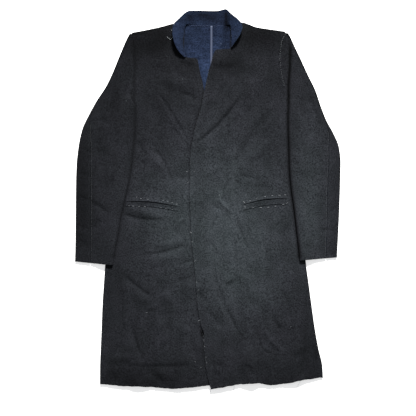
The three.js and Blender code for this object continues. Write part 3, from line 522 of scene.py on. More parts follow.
collarSections = rowsOf("seamX seamY seamZ freeX freeY freeZ", [
    (-61, 392, 7.2, -64.5, 390, 12), (-64, 404, 7.2, -79, 404, 19), (-67.5, 420, 7.2, -89, 421, 24),
    (-68.5, 437, 7.2, -94.5, 439, 26), (-67, 453, 7.2, -97, 456, 25), (-64.5, 467, 7.4, -97, 471, 20),
    (-62, 476.5, 7.6, -92.4, 482.6, 17), (-58.5, 483.2, 6.6, -82, 493, 14),
    (-53.5, 482.4, 3.4, -70.8, 504.2, 12), (-47, 481.7, 1.5, -59.6, 514, 8),
    (-39, 480.4, 1.25, -49, 518, 4), (-28, 479.4, 1.25, -32, 518.2, 2),
    (-10, 478.95, 1.25, -11, 517.8, 1.3), (10, 478.85, 1.25, 10, 517.4, 1.1),
    (28, 479, 1.25, 27, 517.6, 1.5), (42, 479.2, 1.25, 40, 520.5, 4), (50, 479.6, 1.5, 50, 522, 7),
    (55.5, 480.2, 3.4, 59.8, 512.8, 10), (60, 481.6, 6.6, 70.2, 504, 13),
    (62.5, 476.5, 7.6, 80.8, 495.2, 15), (63.5, 468, 7.4, 90.8, 483.6, 17), (64.5, 456, 7.2, 94.5, 471, 19),
    (65, 443, 7.2, 89.5, 454.5, 21), (65, 430, 7.2, 79, 437, 20), (63.5, 418, 7.2, 65, 418.5, 12),
])

rightSleeveSections = rowsOf("outX outY inX inY onFront backSeam step", [
    (-365, -171, -261, -181.5, 1, 43, 2), (-363.8, -110, -248, -104, 1, 42, 2),
    (-363, -30, -235.5, -33, 1, 41, 2), (-362.5, 35, -220, 33, 1, 40, 2), (-361, 91, -210, 92, 1, 38, 2),
    (-356, 142, -204.5, 140, 1, 33, 2), (-346, 190, -201, 183, 1, 21, 2),
    (-326.6, 232.5, -199.5, 222, 1, 5, 2), (-305.3, 271, -201, 256, 1, 2, 2),
    (-281, 308, -209.5, 291, 0, 2, 2), (-262, 347, -209.5, 331, 0, 2, 1.6), (-246, 386, -208, 373, 0, 2, 1),
    (-232, 420, -209.5, 412.5, 0, 2, 0.4), (-222.5, 441, -212.5, 438.5, 0, 2, 0),
    (-215.5, 453.5, -211, 454.5, 0, 2, 0),
])

leftSleeveSections = rowsOf("outX outY inX inY onFront backSeam step", [
    (-355, -159.5, -252, -168.5, 1, 30, 3), (-359, -84, -243.5, -88, 1, 32, 3),
    (-361.4, -30, -236.8, -30, 1, 33, 3), (-363.5, 35, -228.5, 30, 1, 34, 3),
    (-365, 100, -223.5, 88, 1, 33, 3), (-360.3, 142.7, -222, 142, 1, 28, 3),
    (-345.7, 179.3, -220.5, 188, 1, 13, 3), (-325.5, 217, -220, 222, 1, 3, 3),
    (-311, 254, -221, 250, 1, 2, 3), (-295.7, 299, -221.5, 281, 0, 2, 3), (-274.8, 342, -222, 318, 0, 2, 3),
    (-254.3, 386.7, -225.5, 367.5, 0, 2, 2.6), (-237, 423, -226.5, 416, 0, 2, 1.2),
    (-226.5, 446, -219, 443, 0, 2, 0), (-220.5, 455.5, -215, 456.8, 0, 2, 0),
])

print("tables read")


def rightEdge(y):
    return lookUp(bodyEdges, "y", "right", y)


def leftEdge(y):
    return lookUp(bodyEdges, "y", "left", y)


# Large folds in the fronts, as in the solids: straight ridges from one point to another.
largeFolds = rowsOf("x0 y0 x1 y1 width rise", [
    (-150, 310, -50, 165, 15, 2.6), (125, 325, -30, 160, 16, 3), (-190, 150, -90, 50, 16, 2.6),
    (150, 160, 70, 40, 20, 2), (-205, -45, -100, -52, 15, 2.6), (-190, -180, -40, -146, 14, 2.2),
    (-245, -225, -150, -300, 18, 2.6), (38, -5, 58, -200, 15, 2.4), (90, -10, 100, -180, 17, 2),
    (36, -265, 95, -405, 18, 3), (104, -380, 140, -640, 22, 8), (-205, -370, -178, -640, 22, 5),
    (228, -390, 258, -620, 22, 5), (-60, -400, -80, -620, 26, 3),
])

# Creases: x and y of the three points that each passes from left to right, then its half width and its
# height above the cloth (below it where negative). A trough's upper side is the steeper one.
creases = {
    "right chest": [
        (-142, 295, -106, 248, -50, 150, 5, -1.9), (-98, 198, -80, 176, -58, 146, 4.5, -1.0),
        (-194, 165, -182, 137, -160, 118, 7, -1.8), (-152, 138, -124, 106, -90, 28, 5, -1.7),
        (-135, 334, -100, 324, -34, 308, 13, 2.6), (-82, 292, -52, 284, -22, 268, 8, -2.0),
        (-84, 376, -56, 370, -28, 360, 9, -2.4), (-196, 404, -165, 424, -134, 438, 5, 1.4),
        (-168, 362, -163, 386, -156, 410, 6, -1.2), (-186, 362, -164, 367, -142, 369, 5, -1.0),
        (-96, 76, -70, 57, -40, 62, 5, -1.1),
    ],
    "left chest": [
        (-48, 142, 30, 206, 104, 302, 5.5, -2.4), (62, 76, 110, 150, 158, 232, 12, -1.9),
        (8, 374, 44, 360, 92, 380, 9, -2.2), (112, 438, 128, 420, 149, 398, 4, 1.5),
        (118, 418, 130, 402, 142, 386, 6, -1.2), (-30, 170, -12, 240, 2, 292, 7, 1.5),
        (27, 262, 34, 290, 42, 320, 5, -1.1), (200, 60, 206, 150, 205, 240, 7, 1.8),
        (84, 66, 114, 60, 138, 50, 6, -1.4), (138, 42, 152, 32, 168, 40, 6, -1.2),
        (95, 228, 130, 262, 160, 330, 8, -1.0), (100, 100, 140, 130, 170, 170, 9, 1.3),
    ],
    "waist": [
        (-25, -95, -13, -35, 2, 18, 4.5, -1.5), (18, 6, 44, -17, 68, -43, 4.5, 2.0),
        (8, -4, 24, -24, 40, -32, 5, -1.4), (7, -93, 18, -65, 30, -38, 4.5, -1.2),
        (80, -44, 93, -98, 118, -152, 4.5, -1.7), (97, 2, 108, 25, 119, 50, 6, -1.2),
        (-90, -90, -82, -68, -64, -55, 4.5, 1.6), (-98, -100, -94, -76, -89, -58, 4.5, -1.2),
        (-225, -20, -182, -33, -140, -36, 10, 2.8), (-237, -30, -192, -53, -92, -54, 5, -1.9),
        (30, 60, 36, 35, 42, 12, 5, -1.0), (-20, 60, 20, 82, 45, 92, 9, 1.2),
    ],
    "hips": [
        (-182, -149, -122, -146, -56, -122, 4.5, -1.9), (-150, -130, -100, -122, -52, -110, 7, 1.6),
        (-88, -186, -58, -173, -34, -165, 4.5, -1.1), (2, -108, 16, -138, 34, -162, 8, -1.4),
        (67, -178, 70, -150, 66, -118, 4.5, -1.1), (207, -192, 213, -120, 218, -54, 10, -2.2),
        (178, -86, 202, -62, 228, -44, 4, -1.1), (160, -190, 168, -150, 184, -110, 8, -1.0),
        (-232, -202, -198, -238, -140, -276, 5, -2.1), (-92, -226, -62, -219, -34, -208, 6, -1.4),
        (-60, -246, -28, -240, 4, -250, 9, 1.7), (-32, -254, -16, -270, 6, -292, 7, -1.6),
        (45, -229, 58, -222, 74, -210, 5, 1.3), (52, -241, 67, -231, 82, -214, 5, -1.2),
    ],
    "right skirt": [
        (-213, -326, -200, -386, -176, -452, 6, -1.9), (-195, -502, -186, -480, -178, -456, 5, -1.4),
        (-242, -455, -130, -459, -28, -453, 4.5, -1.8), (-290, -440, -245, -438, -192, -432, 8, 1.6),
        (-268, -466, -259, -488, -254, -506, 5, -1.9), (-168, -464, -146, -482, -112, -514, 7, -2.2),
        (-140, -470, -118, -480, -84, -484, 10, 1.4), (-90, -344, -72, -358, -60, -378, 13, 1.4),
        (-129, -326, -125, -365, -119, -404, 9, 1.4), (-126, -256, -114, -270, -106, -292, 9, 1.4),
        (-172, -300, -150, -296, -130, -288, 5, 1.2), (-150, -312, -90, -316, -40, -308, 9, -1.2),
        (-47, -374, -38, -410, -34, -444, 7, -1.3),
    ],
    "left skirt": [
        (12, -186, 46, -288, 101, -398, 6, -2.1), (-2, -298, 20, -330, 48, -362, 6, -1.1),
        (130, -342, 140, -388, 152, -416, 4.5, -1.5), (150, -346, 172, -386, 208, -420, 4.5, 1.8),
        (194, -348, 198, -386, 210, -414, 5, -1.6), (150, -414, 163, -421, 174, -428, 4.5, -1.5),
        (98, -204, 112, -262, 126, -304, 4.5, -1.0), (177, -298, 187, -343, 213, -352, 7, -1.7),
        (211, -248, 222, -298, 227, -342, 6, -1.6), (256, -496, 266, -446, 273, -392, 9, -2.8),
        (106, -448, 117, -470, 130, -492, 7, -1.8), (126, -438, 156, -442, 192, -452, 16, 1.8),
        (212, -398, 236, -410, 256, -426, 15, 1.4), (10, -452, 24, -468, 40, -476, 8, 1.3),
    ],
}

# The same on the sleeves; the left ones are given on their own side.
sleeveCreases = {
    "right": [
        (-330, -2, -302, -18, -262, -46, 6, -1.6), (-359, 8, -342, 2, -324, -4, 5, -1.5),
        (-358, 28, -344, 34, -326, 26, 5, -1.2), (-357, 66, -343, 72, -328, 62, 5, -1.0),
        (-342, 142, -334, 134, -322, 126, 5, -1.3), (-356, -70, -340, -78, -318, -84, 6, -1.2),
        (-315, -85, -306, -70, -298, -52, 6, -0.9), (-350, -110, -342, -122, -328, -128, 8, -1.3),
        (-302, 70, -292, 110, -290, 150, 9, -1.2), (-300, 230, -282, 214, -262, 206, 8, -1.2),
        (-276, 40, -262, 100, -258, 170, 12, 1.3), (-266, 330, -256, 345, -246, 372, 6, -1.1),
        (-290, 280, -276, 290, -262, 306, 7, -1.0), (-262, -158, -258, -128, -254, -100, 7, 1.2),
    ],
    "left": [
        (258, 352, 276, 286, 320, 166, 8, -1.9), (246, 352, 258, 290, 270, 220, 8, 1.2),
        (232, 214, 238, 196, 246, 184, 7, -1.3), (232, 110, 240, 98, 250, 92, 7, -1.3),
        (262, -20, 270, -80, 276, -140, 9, 1.6), (296, 76, 310, 66, 330, 70, 8, -1.0),
        (296, 16, 316, 6, 340, 10, 7, -1.0), (300, -84, 322, -86, 346, -80, 6, -1.1),
        (332, -142, 340, -150, 350, -152, 8, -2.0), (334, -40, 344, -30, 352, -18, 7, -1.2),
        (244, 132, 262, 90, 270, 60, 10, 1.2), (250, 10, 256, -4, 262, -18, 6, -1.0),
    ],
}


# How far a trough leans, how much wider and higher than its row a crease is, and what being upright adds.
crease = {"lean": 0.3, "widen": 1.15, "raise": 1.15, "upright": 0.75, "end": 0.3}


def creaseLift(rows, x, y):
    # Sum of the creases' heights: height, more for upright ones and fading over the end thirds, times exp of
    # minus the squared distance over the width, taken to a curve through the three points in ten pieces.
    total = np.zeros(x.shape)
    t = np.linspace(0, 1, 11)
    for *way, halfWidth, height in rows:
        first, middle, last = np.array(way, float).reshape(3, 2)
        bend = 2 * middle - (first + last) / 2
        line = ((1 - t) ** 2)[:, None] * first + (2 * t * (1 - t))[:, None] * bend + (t**2)[:, None] * last
        best = np.full(x.shape, 1e9)
        place, side = np.zeros(x.shape), np.zeros(x.shape)
        for k in range(10):
            dx, dy = line[k + 1] - line[k]
            share = np.clip(((x - line[k, 0]) * dx + (y - line[k, 1]) * dy) / (dx * dx + dy * dy), 0, 1)
            awayX, awayY = x - line[k, 0] - share * dx, y - line[k, 1] - share * dy
            distance = np.hypot(awayX, awayY)
            closer = distance < best
            best = np.where(closer, distance, best)
            place = np.where(closer, (k + share) / 10, place)
            side = np.where(closer, np.sign(dx * awayY - dy * awayX), side)
        lean = crease["lean"] if height < 0 else 0
        width = crease["widen"] * halfWidth * (1 - lean * side)
        upright = abs(last[1] - first[1]) / math.hypot(*(last - first))
        rise = height * (crease["raise"] + crease["upright"] * upright)
        taper = ease(place / crease["end"]) * ease((1 - place) / crease["end"])
        total += rise * taper * np.exp(-((best / width) ** 2))
    return total


def wrinkleLift(x, y, angle, across, along, seed):
    # Fine ridged wrinkles: one minus twice the size of a noise that is stretched along the angle.
    u, v = x * math.cos(angle) + y * math.sin(angle), y * math.cos(angle) - x * math.sin(angle)
    return 1 - 2 * np.sqrt(valueNoise(u * across / along, v, across, seed) ** 2 + 0.01)


def straightRidge(fold, x, y):
    # rise, fading over the end thirds, times exp of minus the squared distance over the width.
    dx, dy = fold["x1"] - fold["x0"], fold["y1"] - fold["y0"]
    length = math.hypot(dx, dy)
    along = ((x - fold["x0"]) * dx + (y - fold["y0"]) * dy) / length**2
    away = np.abs((x - fold["x0"]) * dy - (y - fold["y0"]) * dx) / length
    taper = ease(along / crease["end"]) * ease((1 - along) / crease["end"])
    return fold["rise"] * taper * np.exp(-((away / fold["width"]) ** 2))


def sleeveInnerRight(y):
    return lookUp(rightSleeveSections, "inY", "inX", y)


def sleeveInnerLeft(y):
    return -lookUp(leftSleeveSections, "inY", "inX", y)


# Air under the fronts: at rest and at least, the strip along the side and the height at which it closes,
# and the noises as height and size.
frontAir = {
    "rest": 1.9, "least": -1.2, "side": 8, "sideReach": 50, "top": 425, "topReach": 60,
    "noise": [(1.0, 75), (0.85, 31), (0.3, 12)],
}


def frontLift(x, y):
    # Air, folds and wrinkles under the fronts; they lie close at side seams, shoulders and under the sleeves.
    inFromSide = np.minimum(x - rightEdge(y), leftEdge(y) - x)
    room = ease((inFromSide - frontAir["side"]) / frontAir["sideReach"])
    room = room * ease((frontAir["top"] - y) / frontAir["topReach"])
    lift = frontAir["rest"] + sum(straightRidge(fold, x, y) for fold in largeFolds)
    lift = lift + sum(creaseLift(rows, x, y) for rows in creases.values())
    lift = lift + noiseLayers(x, y, frontAir["noise"], 1)
    chest, middle = ease((y - 40) / 120), np.exp(-(((x - 40) / 130) ** 2) - ((y + 40) / 170) ** 2)
    slants = [wrinkleLift(x, y, angle, 24, 90, 4) for angle in (-0.85, 0.85)]
    lift = lift + 0.6 * chest * blend(*slants, ease((x + 50) / 40))
    lift = lift + 0.7 * middle * wrinkleLift(x, y, 1.35, 17, 50, 5)
    lift = lift + 0.5 * (1 - chest) * wrinkleLift(x, y, 1.9, 26, 80, 7)
    lift = np.maximum(lift, frontAir["least"])
    fromSleeve = np.minimum(x - sleeveInnerRight(y), sleeveInnerLeft(y) - x)
    covered = ease((y + 190) / 20) * ease((305 - y) / 20)
    most = blend(99, 0.75 + 6 * ease((fromSleeve - 3) / 22), covered)
    return np.minimum(room * lift, most)


hiddenRows = rightFrontSections[:-4]


def hiddenEdge(y):
    return lookUp(hiddenRows, "edgeY", "edgeX", y)


def lapLift(x, y):
    # The left front climbs over the right front's edge.
    return lapRise * ease((hiddenEdge(y) + 26 - x) / 22)


def frontHeight(x, y, side):
    return frontLevel + frontLift(x, y) + (lapLift(x, y) if side == "left" else 0)


def sideEdgePoints(edgeX, y, inward, level, upright, turns=7):
    # Below the armpit a quarter turn from the seam at mid height up to the flat; above it a plain edge.
    angle = np.linspace(0, 1, turns)[None, :] * np.pi / 2
    flatStart = edgeX + inward * (halfWall + sideRoll)
    rolledX = flatStart[:, None] - inward * sideRoll * np.cos(angle)
    down = sideRoll * (1 - np.sin(angle)) - cloth["seamGap"] / 2 * (angle < 0.01)
    plainX = edgeX[:, None] + inward * (cloth["armholeGap"] + 0.4 * np.arange(turns)[None, :])
    rolled = (y < armpit - 1)[:, None]
    return np.where(rolled, rolledX, plainX), level - upright * np.where(rolled, down, 0)


def hemDrop(x):
    return lookUp(hemWaves, "x", "drop", x)


def crownRise(x):
    return lookUp(shoulderCrown, "x", "rise", x)


nick = {"y": -368, "depth": 5, "half": 14}  # gap low on the left front's edge
roughness = {"front": [(0.5, 9), (0.35, 3.7)], "hem": [(0.7, 11), (0.4, 4)]}  # noises as height and size
firstStep = {"seam": 1.2, "armhole": 0.6}  # from a panel's side to its first even column


def nearTop(s, table):
    # 0 below the last section and a half, eased up to 1 at the shoulder.
    return ease((s - len(table) + 2.5) / 1.5)[:, None]


def panelRows(sideY, endX, endY, edgeOf, inward, level, upright, spacing):
    # Each row rolls up from the side seam and then runs evenly to its end point.
    rollX, rollZ = sideEdgePoints(edgeOf(sideY), sideY, inward, level, upright)
    share = shares(round(abs(endX - edgeOf(sideY)).max() / spacing))[None, 1:]
    first = rollX[:, -1] + inward * np.where(sideY < armpit - 1, firstStep["seam"], firstStep["armhole"])
    flatX = blend(first[:, None], endX[:, None], share)
    across = beside(np.zeros(rollX.shape), np.broadcast_to(share, flatX.shape))
    y = blend(sideY[:, None], endY[:, None], across)
    return beside(rollX, flatX), y, np.broadcast_to(rollZ, rollX.shape)


def frontGrid(table, edgeOf, inward, side, spacing=3.4):
    # Rows run from the side edge to the front edge, evenly spaced from hem to shoulder. The front edge
    # wanders by a noise and dips at the nick; the lowest rows follow the hem's waves, the top ones the crown.
    s = sectionRows(table, [(None, "sideY"), ("edgeX", "edgeY")], spacing)
    sideY, edgeX, edgeY = (bySection(table, name, s) for name in ("sideY", "edgeX", "edgeY"))
    nearHem, nearShoulder = (1 - ease(s / 2.2))[:, None], nearTop(s, table)
    edgeX = edgeX + noiseLayers(edgeY, edgeY * 0, roughness["front"], 5) * ease((380 - edgeY) / 40)
    if side == "left":
        edgeX = edgeX + nick["depth"] * np.exp(-(((edgeY - nick["y"]) / nick["half"]) ** 2))
    x, y, rollZ = panelRows(sideY, edgeX, edgeY, edgeOf, inward, frontLevel, 1, spacing)
    hemRough = noiseLayers(x, x * 0, roughness["hem"], 8)
    y = y - nearHem * hemDrop(x) + nearShoulder * crownRise(x) + hemRough * ease(1 - s / 0.3)[:, None]
    flat = slice(rollZ.shape[1], None)
    z = beside(rollZ, frontHeight(x[:, flat], y[:, flat], side))
    z = z - nearShoulder * (cloth["bodyAir"] - cloth["seamGap"])
    return np.stack([x, y, z], -1)


def backGrid(sideColumn, edgeOf, inward, spacing=8):
    # The same for the backs, whose rows end at the centre seam or the neck and lie flat.
    s = sectionRows(backSections, [(None, sideColumn), ("centreOut", "centreY")], spacing)
    names = (sideColumn, "centreOut", "centreY")
    sideY, centreOut, centreY = (bySection(backSections, name, s) for name in names)
    centreX = centreBack - inward * (cloth["seamGap"] / 2 + centreOut)
    x, y, rollZ = panelRows(sideY, centreX, centreY, edgeOf, inward, backLevel, -1, spacing)
    y = y + nearTop(s, backSections) * crownRise(x)
    flatZ = np.full((len(s), x.shape[1] - rollZ.shape[1]), float(backLevel))
    return np.stack([x, y, beside(rollZ, flatZ)], -1)


# Lighter and darker areas of the black face, as in the photograph: changes of its brightness, each eased out
# to its reach. The first brightens the middle of the coat; the ones below 0 darken the shoulders, outer
# sleeves and hems, and the two at y 365 are painted shade in the nooks under the collar's ends.
napBase = 0.28
toneAndShadePatches = rowsOf("x y reachX reachY change", [
    (40, -60, 230, 300, 0.49), (-120, -50, 90, 130, 0.14), (110, -220, 120, 170, 0.14),
    (-110, -370, 110, 90, 0.05), (285, 40, 60, 230, 0.24), (-130, 240, 90, 110, -0.05),
    (-160, 440, 120, 80, -0.22), (150, 450, 110, 60, -0.18), (-350, 30, 45, 260, -0.14),
    (-200, -500, 150, 50, -0.13), (220, -505, 130, 45, -0.08), (-55, 365, 55, 28, -0.08),
    (50, 365, 55, 35, -0.14), (285, -110, 50, 90, 0.1), (285, -440, 40, 90, -0.06),
    (-262, 270, 42, 120, -0.11),
])

# The same for the navy face, from a base of 1: painted shade on the collar's back band, along its creases and
# just below the back neck, and a brighter patch in the V.
navyPatches = rowsOf("x y reachX reachY change", [
    (-4, 502, 66, 22, -0.6), (-50, 500, 12, 18, -0.4), (50, 490, 5, 36, -0.85), (55.5, 474, 4, 12, -0.6),
    (-2, 471, 46, 7, -0.2), (-63, 440, 5, 45, -0.35), (59, 445, 5, 35, -0.45), (-4, 345, 30, 70, 0.6),
])


def tonedBy(points, base, patches, least):
    # The base plus each patch's change times a bell over its two reaches.
    x, y = points[..., 0], points[..., 1]
    tone = np.full(x.shape, base)
    for patch in patches:
        away = ((x - patch["x"]) / patch["reachX"]) ** 2 + ((y - patch["y"]) / patch["reachY"]) ** 2
        tone = tone + patch["change"] * np.exp(-1.4 * away)
    return np.maximum(tone, least)


# Painted shade in the nook of each sleeve's inner fold; on the right it moves on to the armhole higher up.
foldShade = {"left": 0.84, "right": 0.38, "reach": 5, "shift": 8}


# Tone of the black face: the patches above, times painted shade along the sleeves' inner folds.
def toneAndShadeOf(points):
    x, y = points[..., 0], points[..., 1]
    along = ease((440 - y) / 30) * ease((y + 175) / 20)
    left = foldShade["left"] * np.exp(-(((x - sleeveInnerLeft(y)) / foldShade["reach"]) ** 2))
    rightLine = sleeveInnerRight(y) + foldShade["shift"] * ease((y - 270) / 25)
    right = foldShade["right"] * np.exp(-(((x - rightLine) / foldShade["reach"]) ** 2))
    return tonedBy(points, napBase, toneAndShadePatches, 0.1) * (1 - along * (left + right))


def navyTone(points):
    return tonedBy(points, 1.0, navyPatches, 0.2)


# Fronts and backs.


def woolPanel(name, points, outside, toneAndShade):
    # A wall of the coat's cloth with its black or its navy side out.
    faces = (blackWool, navyWool) if outside == "black" else (navyWool, blackWool)
    return clothWall(name, points, cloth["thickness"], *faces, toneAndShade)


rightFront = frontGrid(rightFrontSections, rightEdge, 1, "right")
leftFront = frontGrid(leftFrontSections, leftEdge, -1, "left")[:, ::-1]
# Painted shade in the nook beside the front edge, on the right front, and a painted highlight on the left
# front's lip.
edgeShade = {"nook": 0.5, "lip": 0.16, "reach": 6}


def edgeTone(points, change):
    # 1 plus the change times a bell from the left front's edge, strongest on the chest and at the nick.
    x, y = points[..., 0], points[..., 1]
    away = (x - lookUp(leftFrontSections, "edgeY", "edgeX", y)) / edgeShade["reach"]
    strength = blend(0.5, 1, ease((y - 100) / 60)) * ease((310 - y) / 20)
    strength = np.maximum(strength, 1.9 * np.exp(-(((y - nick["y"]) / nick["half"]) ** 2)))
    return 1 + change * np.exp(-(away**2)) * strength


# The right front gets the painted shade, near black in the nick; the left front gets the painted highlight.
shaded = toneAndShadeOf(rightFront) * edgeTone(rightFront, -edgeShade["nook"])
frontRight = woolPanel("rightFrontCloth", rightFront, "black", shaded)
litAndShadedTone = toneAndShadeOf(leftFront) * edgeTone(leftFront, edgeShade["lip"])
frontLeft = woolPanel("leftFrontCloth", leftFront, "black", litAndShadedTone)
rightBack = backGrid("rightY", rightEdge, 1)
leftBack = backGrid("leftY", leftEdge, -1)[:, ::-1]
backRight = woolPanel("rightBackCloth", rightBack, "navy", navyTone(rightBack))
backLeft = woolPanel("leftBackCloth", leftBack, "navy", navyTone(leftBack))
print("fronts and backs made")


# Sleeves.


def mirrored(points):
    # The same grid on the other side, its columns reversed so that its faces still point outwards.
    return (points * [-1, 1, 1])[:, ::-1]


# Where a sleeve climbs on to the front, in from the body's edge: its underside from foot to top, its upper
# side from topFoot to topEnd.
climbs = {"foot": 17, "top": 3, "topFoot": 39, "topEnd": -1, "armhole": cloth["armholeGap"]}


def sleeveFrame(table, edgeOf, spacing):
    # For each row: outer and inner points, the direction between them, and where it meets the body's edge,
    # found by trying the edge at the height of the last try.
    s = sectionRows(table, [("outX", "outY"), ("inX", "inY")], spacing)
    value = {name: bySection(table, name, s)[:, None] for name in table[0]}
    width = np.hypot(value["inX"] - value["outX"], value["inY"] - value["outY"])
    dirX, dirY = (value["inX"] - value["outX"]) / width, (value["inY"] - value["outY"]) / width
    bodyEdge = edgeOf(value["inY"])
    for trial in range(4):
        bodyEdge = edgeOf(value["outY"] + dirY * (bodyEdge - value["outX"]) / dirX)
    reach = {name: (bodyEdge - out - value["outX"]) / dirX for name, out in climbs.items()}
    above = ease((value["inY"] - armpit + 10) / 24)
    return {
        **value, **reach, "s": s[:, None], "last": len(table) - 1, "width": width, "dirX": dirX, "dirY": dirY,
        "bodyEdge": bodyEdge, "above": above,
    }


def sleevePoints(f, d, z):
    return np.stack([f["outX"] + f["dirX"] * d, f["outY"] + f["dirY"] * d, z + 0 * d], -1)


sleeveLooks = {
    "right": {"table": rightSleeveSections, "seed": 21, "turn": 1},
    "left": {"table": leftSleeveSections, "seed": 31, "turn": -1},
}


# Air in the sleeves: at rest and at least, their arch, what the elbow adds and the noises.
loftAir = {
    "rest": 0.4, "least": -0.8, "arch": 1.2, "elbow": 1.6, "elbowY": 120, "elbowReach": 220,
    "noise": [(0.7, 60), (0.6, 26), (0.25, 11)],
}


def sleeveLoft(f, d, side):
    # Air in the sleeve: a low arch over its width, higher over the elbow, with soft wrinkles and creases.
    seed, turn = sleeveLooks[side]["seed"], sleeveLooks[side]["turn"]
    across = np.clip(d / f["width"], 0, 1)
    x, y = f["outX"] + f["dirX"] * d, f["outY"] + f["dirY"] * d
    elbow = ease(1 - np.abs(f["inY"] - loftAir["elbowY"]) / loftAir["elbowReach"])
    arch = np.sin(np.pi * across) ** 0.8 * (loftAir["arch"] + loftAir["elbow"] * elbow)
    wrinkles = noiseLayers(x, y, loftAir["noise"], seed)
    wrinkles = wrinkles + 0.5 * wrinkleLift(x, y, 1.2, 18, 60, seed + 3)
    wrinkles = wrinkles + creaseLift(sleeveCreases[side], turn * x, y)
    loft = arch + loftAir["rest"] + wrinkles * np.sin(np.pi * across) ** 0.5
    loft = np.maximum(loft, loftAir["least"])
    return loft * ease((455 - f["outY"]) / 60)


def sleeveFolded(f, firstIn, side):
    # Over the top, round the inner fold and back under the sleeve to its forearm seam.
    floorTop = sleeveUnderLevel + sleeveRise
    climb = sleeveOnFrontLevel - sleeveUnderLevel
    foldStart = f["width"] - halfWall - sleeveRoll
    seamX = blend(f["bodyEdge"] - 17, f["bodyEdge"] + 2, f["above"])
    seamAt = np.minimum((seamX - f["outX"]) / f["dirX"], foldStart - 4)
    topD = blend(firstIn, foldStart, sleeveColumns["top"])
    climbed = ease((topD - f["topFoot"]) / (f["topEnd"] - f["topFoot"]))
    topZ = floorTop + climb * climbed + sleeveLoft(f, topD, side)
    turn = sleeveColumns["turn"]
    foldLow = sleeveUnderLevel + climb
    radius = (topZ[:, -1:] - foldLow) / 2
    turnD = foldStart + sleeveRoll * np.sin(turn)
    turnZ = foldLow + radius * (1 + np.cos(turn))
    stripD = blend(foldStart, seamAt, sleeveColumns["strip"])
    stripZ = sleeveUnderLevel + climb * ease((stripD - f["foot"]) / (f["top"] - f["foot"]))
    return beside(topD, turnD, stripD), beside(topZ, turnZ, stripZ)


def sleeveCap(f, firstIn, side):
    # The flat cap: over the top to the inner fold, down its step, and on to the armhole.
    nearShoulder = ease((f["s"] - f["last"] + 2.5) / 2)
    height = frontLevel - nearShoulder * (cloth["bodyAir"] - cloth["seamGap"])
    run = np.minimum(2.4, (f["armhole"] - firstIn) / 5)
    stepAt = np.clip(f["width"], firstIn + 2 * run, f["armhole"] - 2 * run)
    topShare = sleeveColumns["top"]
    topD = blend(firstIn, stepAt - run, topShare)
    rising = blend(sleeveUnderLevel + sleeveRise, height + f["step"], ease(topShare * 1.4))
    topZ = rising + 0.6 * sleeveLoft(f, topD, side)
    turnShare = sleeveColumns["turn"] / np.pi
    turnD = blend(stepAt - run, stepAt + run, turnShare)
    turnZ = height + f["step"] * (1 + np.cos(sleeveColumns["turn"])) / 2
    stripD = blend(stepAt + run, f["armhole"], sleeveColumns["strip"])
    stripZ = height - 0.9 * np.exp(-(((stripD - stepAt - run) / 2.5) ** 2)) * ease(f["step"])
    return beside(topD, turnD, stripD), beside(topZ, turnZ, stripZ)


sleeveColumns = {
    "top": shares(38, 0.01)[None, :],
    "turn": np.linspace(0, np.pi, 11)[None, 1:-1],
    "strip": shares(16, 0.02)[None, :],
}


hindarm = {"depth": 0.7, "reach": 2.2}


def seamDip(away, f):
    # The cloth sinks towards the hindarm seam, where there is one, as a bell.
    return hindarm["depth"] * np.exp(-((away / hindarm["reach"]) ** 2)) * (f["backSeam"] > 4)


def sleeveUpperGrid(side, edgeOf, spacing=3.8):
    # Folded rows up to the armpit turn into flat cap rows, as onFront goes from 1 to 0.
    f = sleeveFrame(sleeveLooks[side]["table"], edgeOf, spacing)
    firstIn = halfWall + f["backSeam"] + cloth["seamGap"]
    foldedD, foldedZ = sleeveFolded(f, firstIn, side)
    flatD, flatZ = sleeveCap(f, firstIn, side)
    share = np.clip(f["onFront"], 0, 1)
    d, z = blend(flatD, foldedD, share), blend(flatZ, foldedZ, ease(share * 2))
    onTop = np.arange(d.shape[1]) < sleeveColumns["top"].shape[1]
    return sleevePoints(f, d, z - seamDip(d - firstIn, f) * onTop)


def sleeveUnderGrid(side, edgeOf, spacing=3.8):
    # From the hindarm seam out over the top, round the outer fold and in along the floor.
    f = sleeveFrame(sleeveLooks[side]["table"], edgeOf, spacing)
    quarter = sleeveRoll * np.pi / 2
    backStrip = np.maximum(f["backSeam"] - cloth["seamGap"], 1.2)
    strip = blend(-backStrip, -quarter, shares(10, 0.03)[None, :])
    roll = quarter * np.linspace(-1, 1, 13)[None, 1:] + 0 * backStrip
    along = beside(strip, roll)
    narrow = blend(-backStrip, quarter, np.linspace(0, 1, along.shape[1])[None, :])
    along = np.where(backStrip < quarter, narrow, along)
    angle = np.clip(along / sleeveRoll, -np.pi / 2, np.pi / 2)
    flat = np.maximum(0, np.abs(along) - quarter)
    turnD = halfWall + sleeveRoll * (1 - np.cos(angle)) + flat
    turnZ = sleeveUnderLevel + sleeveRoll * (1 - np.sin(angle))
    loft = sleeveLoft(f, turnD, side) * (along < 0) * ease(-along / 6)
    turnZ = turnZ + loft - seamDip(along + backStrip, f)
    endX = f["bodyEdge"] - blend(17.5, cloth["armholeGap"], f["above"])
    first = halfWall + sleeveRoll + 0.6
    end = np.maximum((endX - f["outX"]) / f["dirX"], first + 2)
    floorD = blend(first, end, shares(18, 0.02)[None, :])
    d = beside(turnD, floorD)
    z = beside(turnZ, np.full(floorD.shape, float(sleeveUnderLevel)))
    return sleevePoints(f, d, z)


def mirroredLeftEdge(y):
    return -leftEdge(y)


sleeveGrids, sleevePieces = {}, {}
for side, edgeOf in (("right", rightEdge), ("left", mirroredLeftEdge)):
    for part, gridOf, outside in (("Upper", sleeveUpperGrid, "black"), ("Under", sleeveUnderGrid, "navy")):
        grid = gridOf(side, edgeOf)
        grid = mirrored(grid) if side == "left" else grid
        sleeveGrids[side + part] = grid
        sleevePieces[side + part] = woolPanel(side + part + "SleeveCloth", grid, outside, toneAndShadeOf(grid))
print("sleeves made")


# Collar.


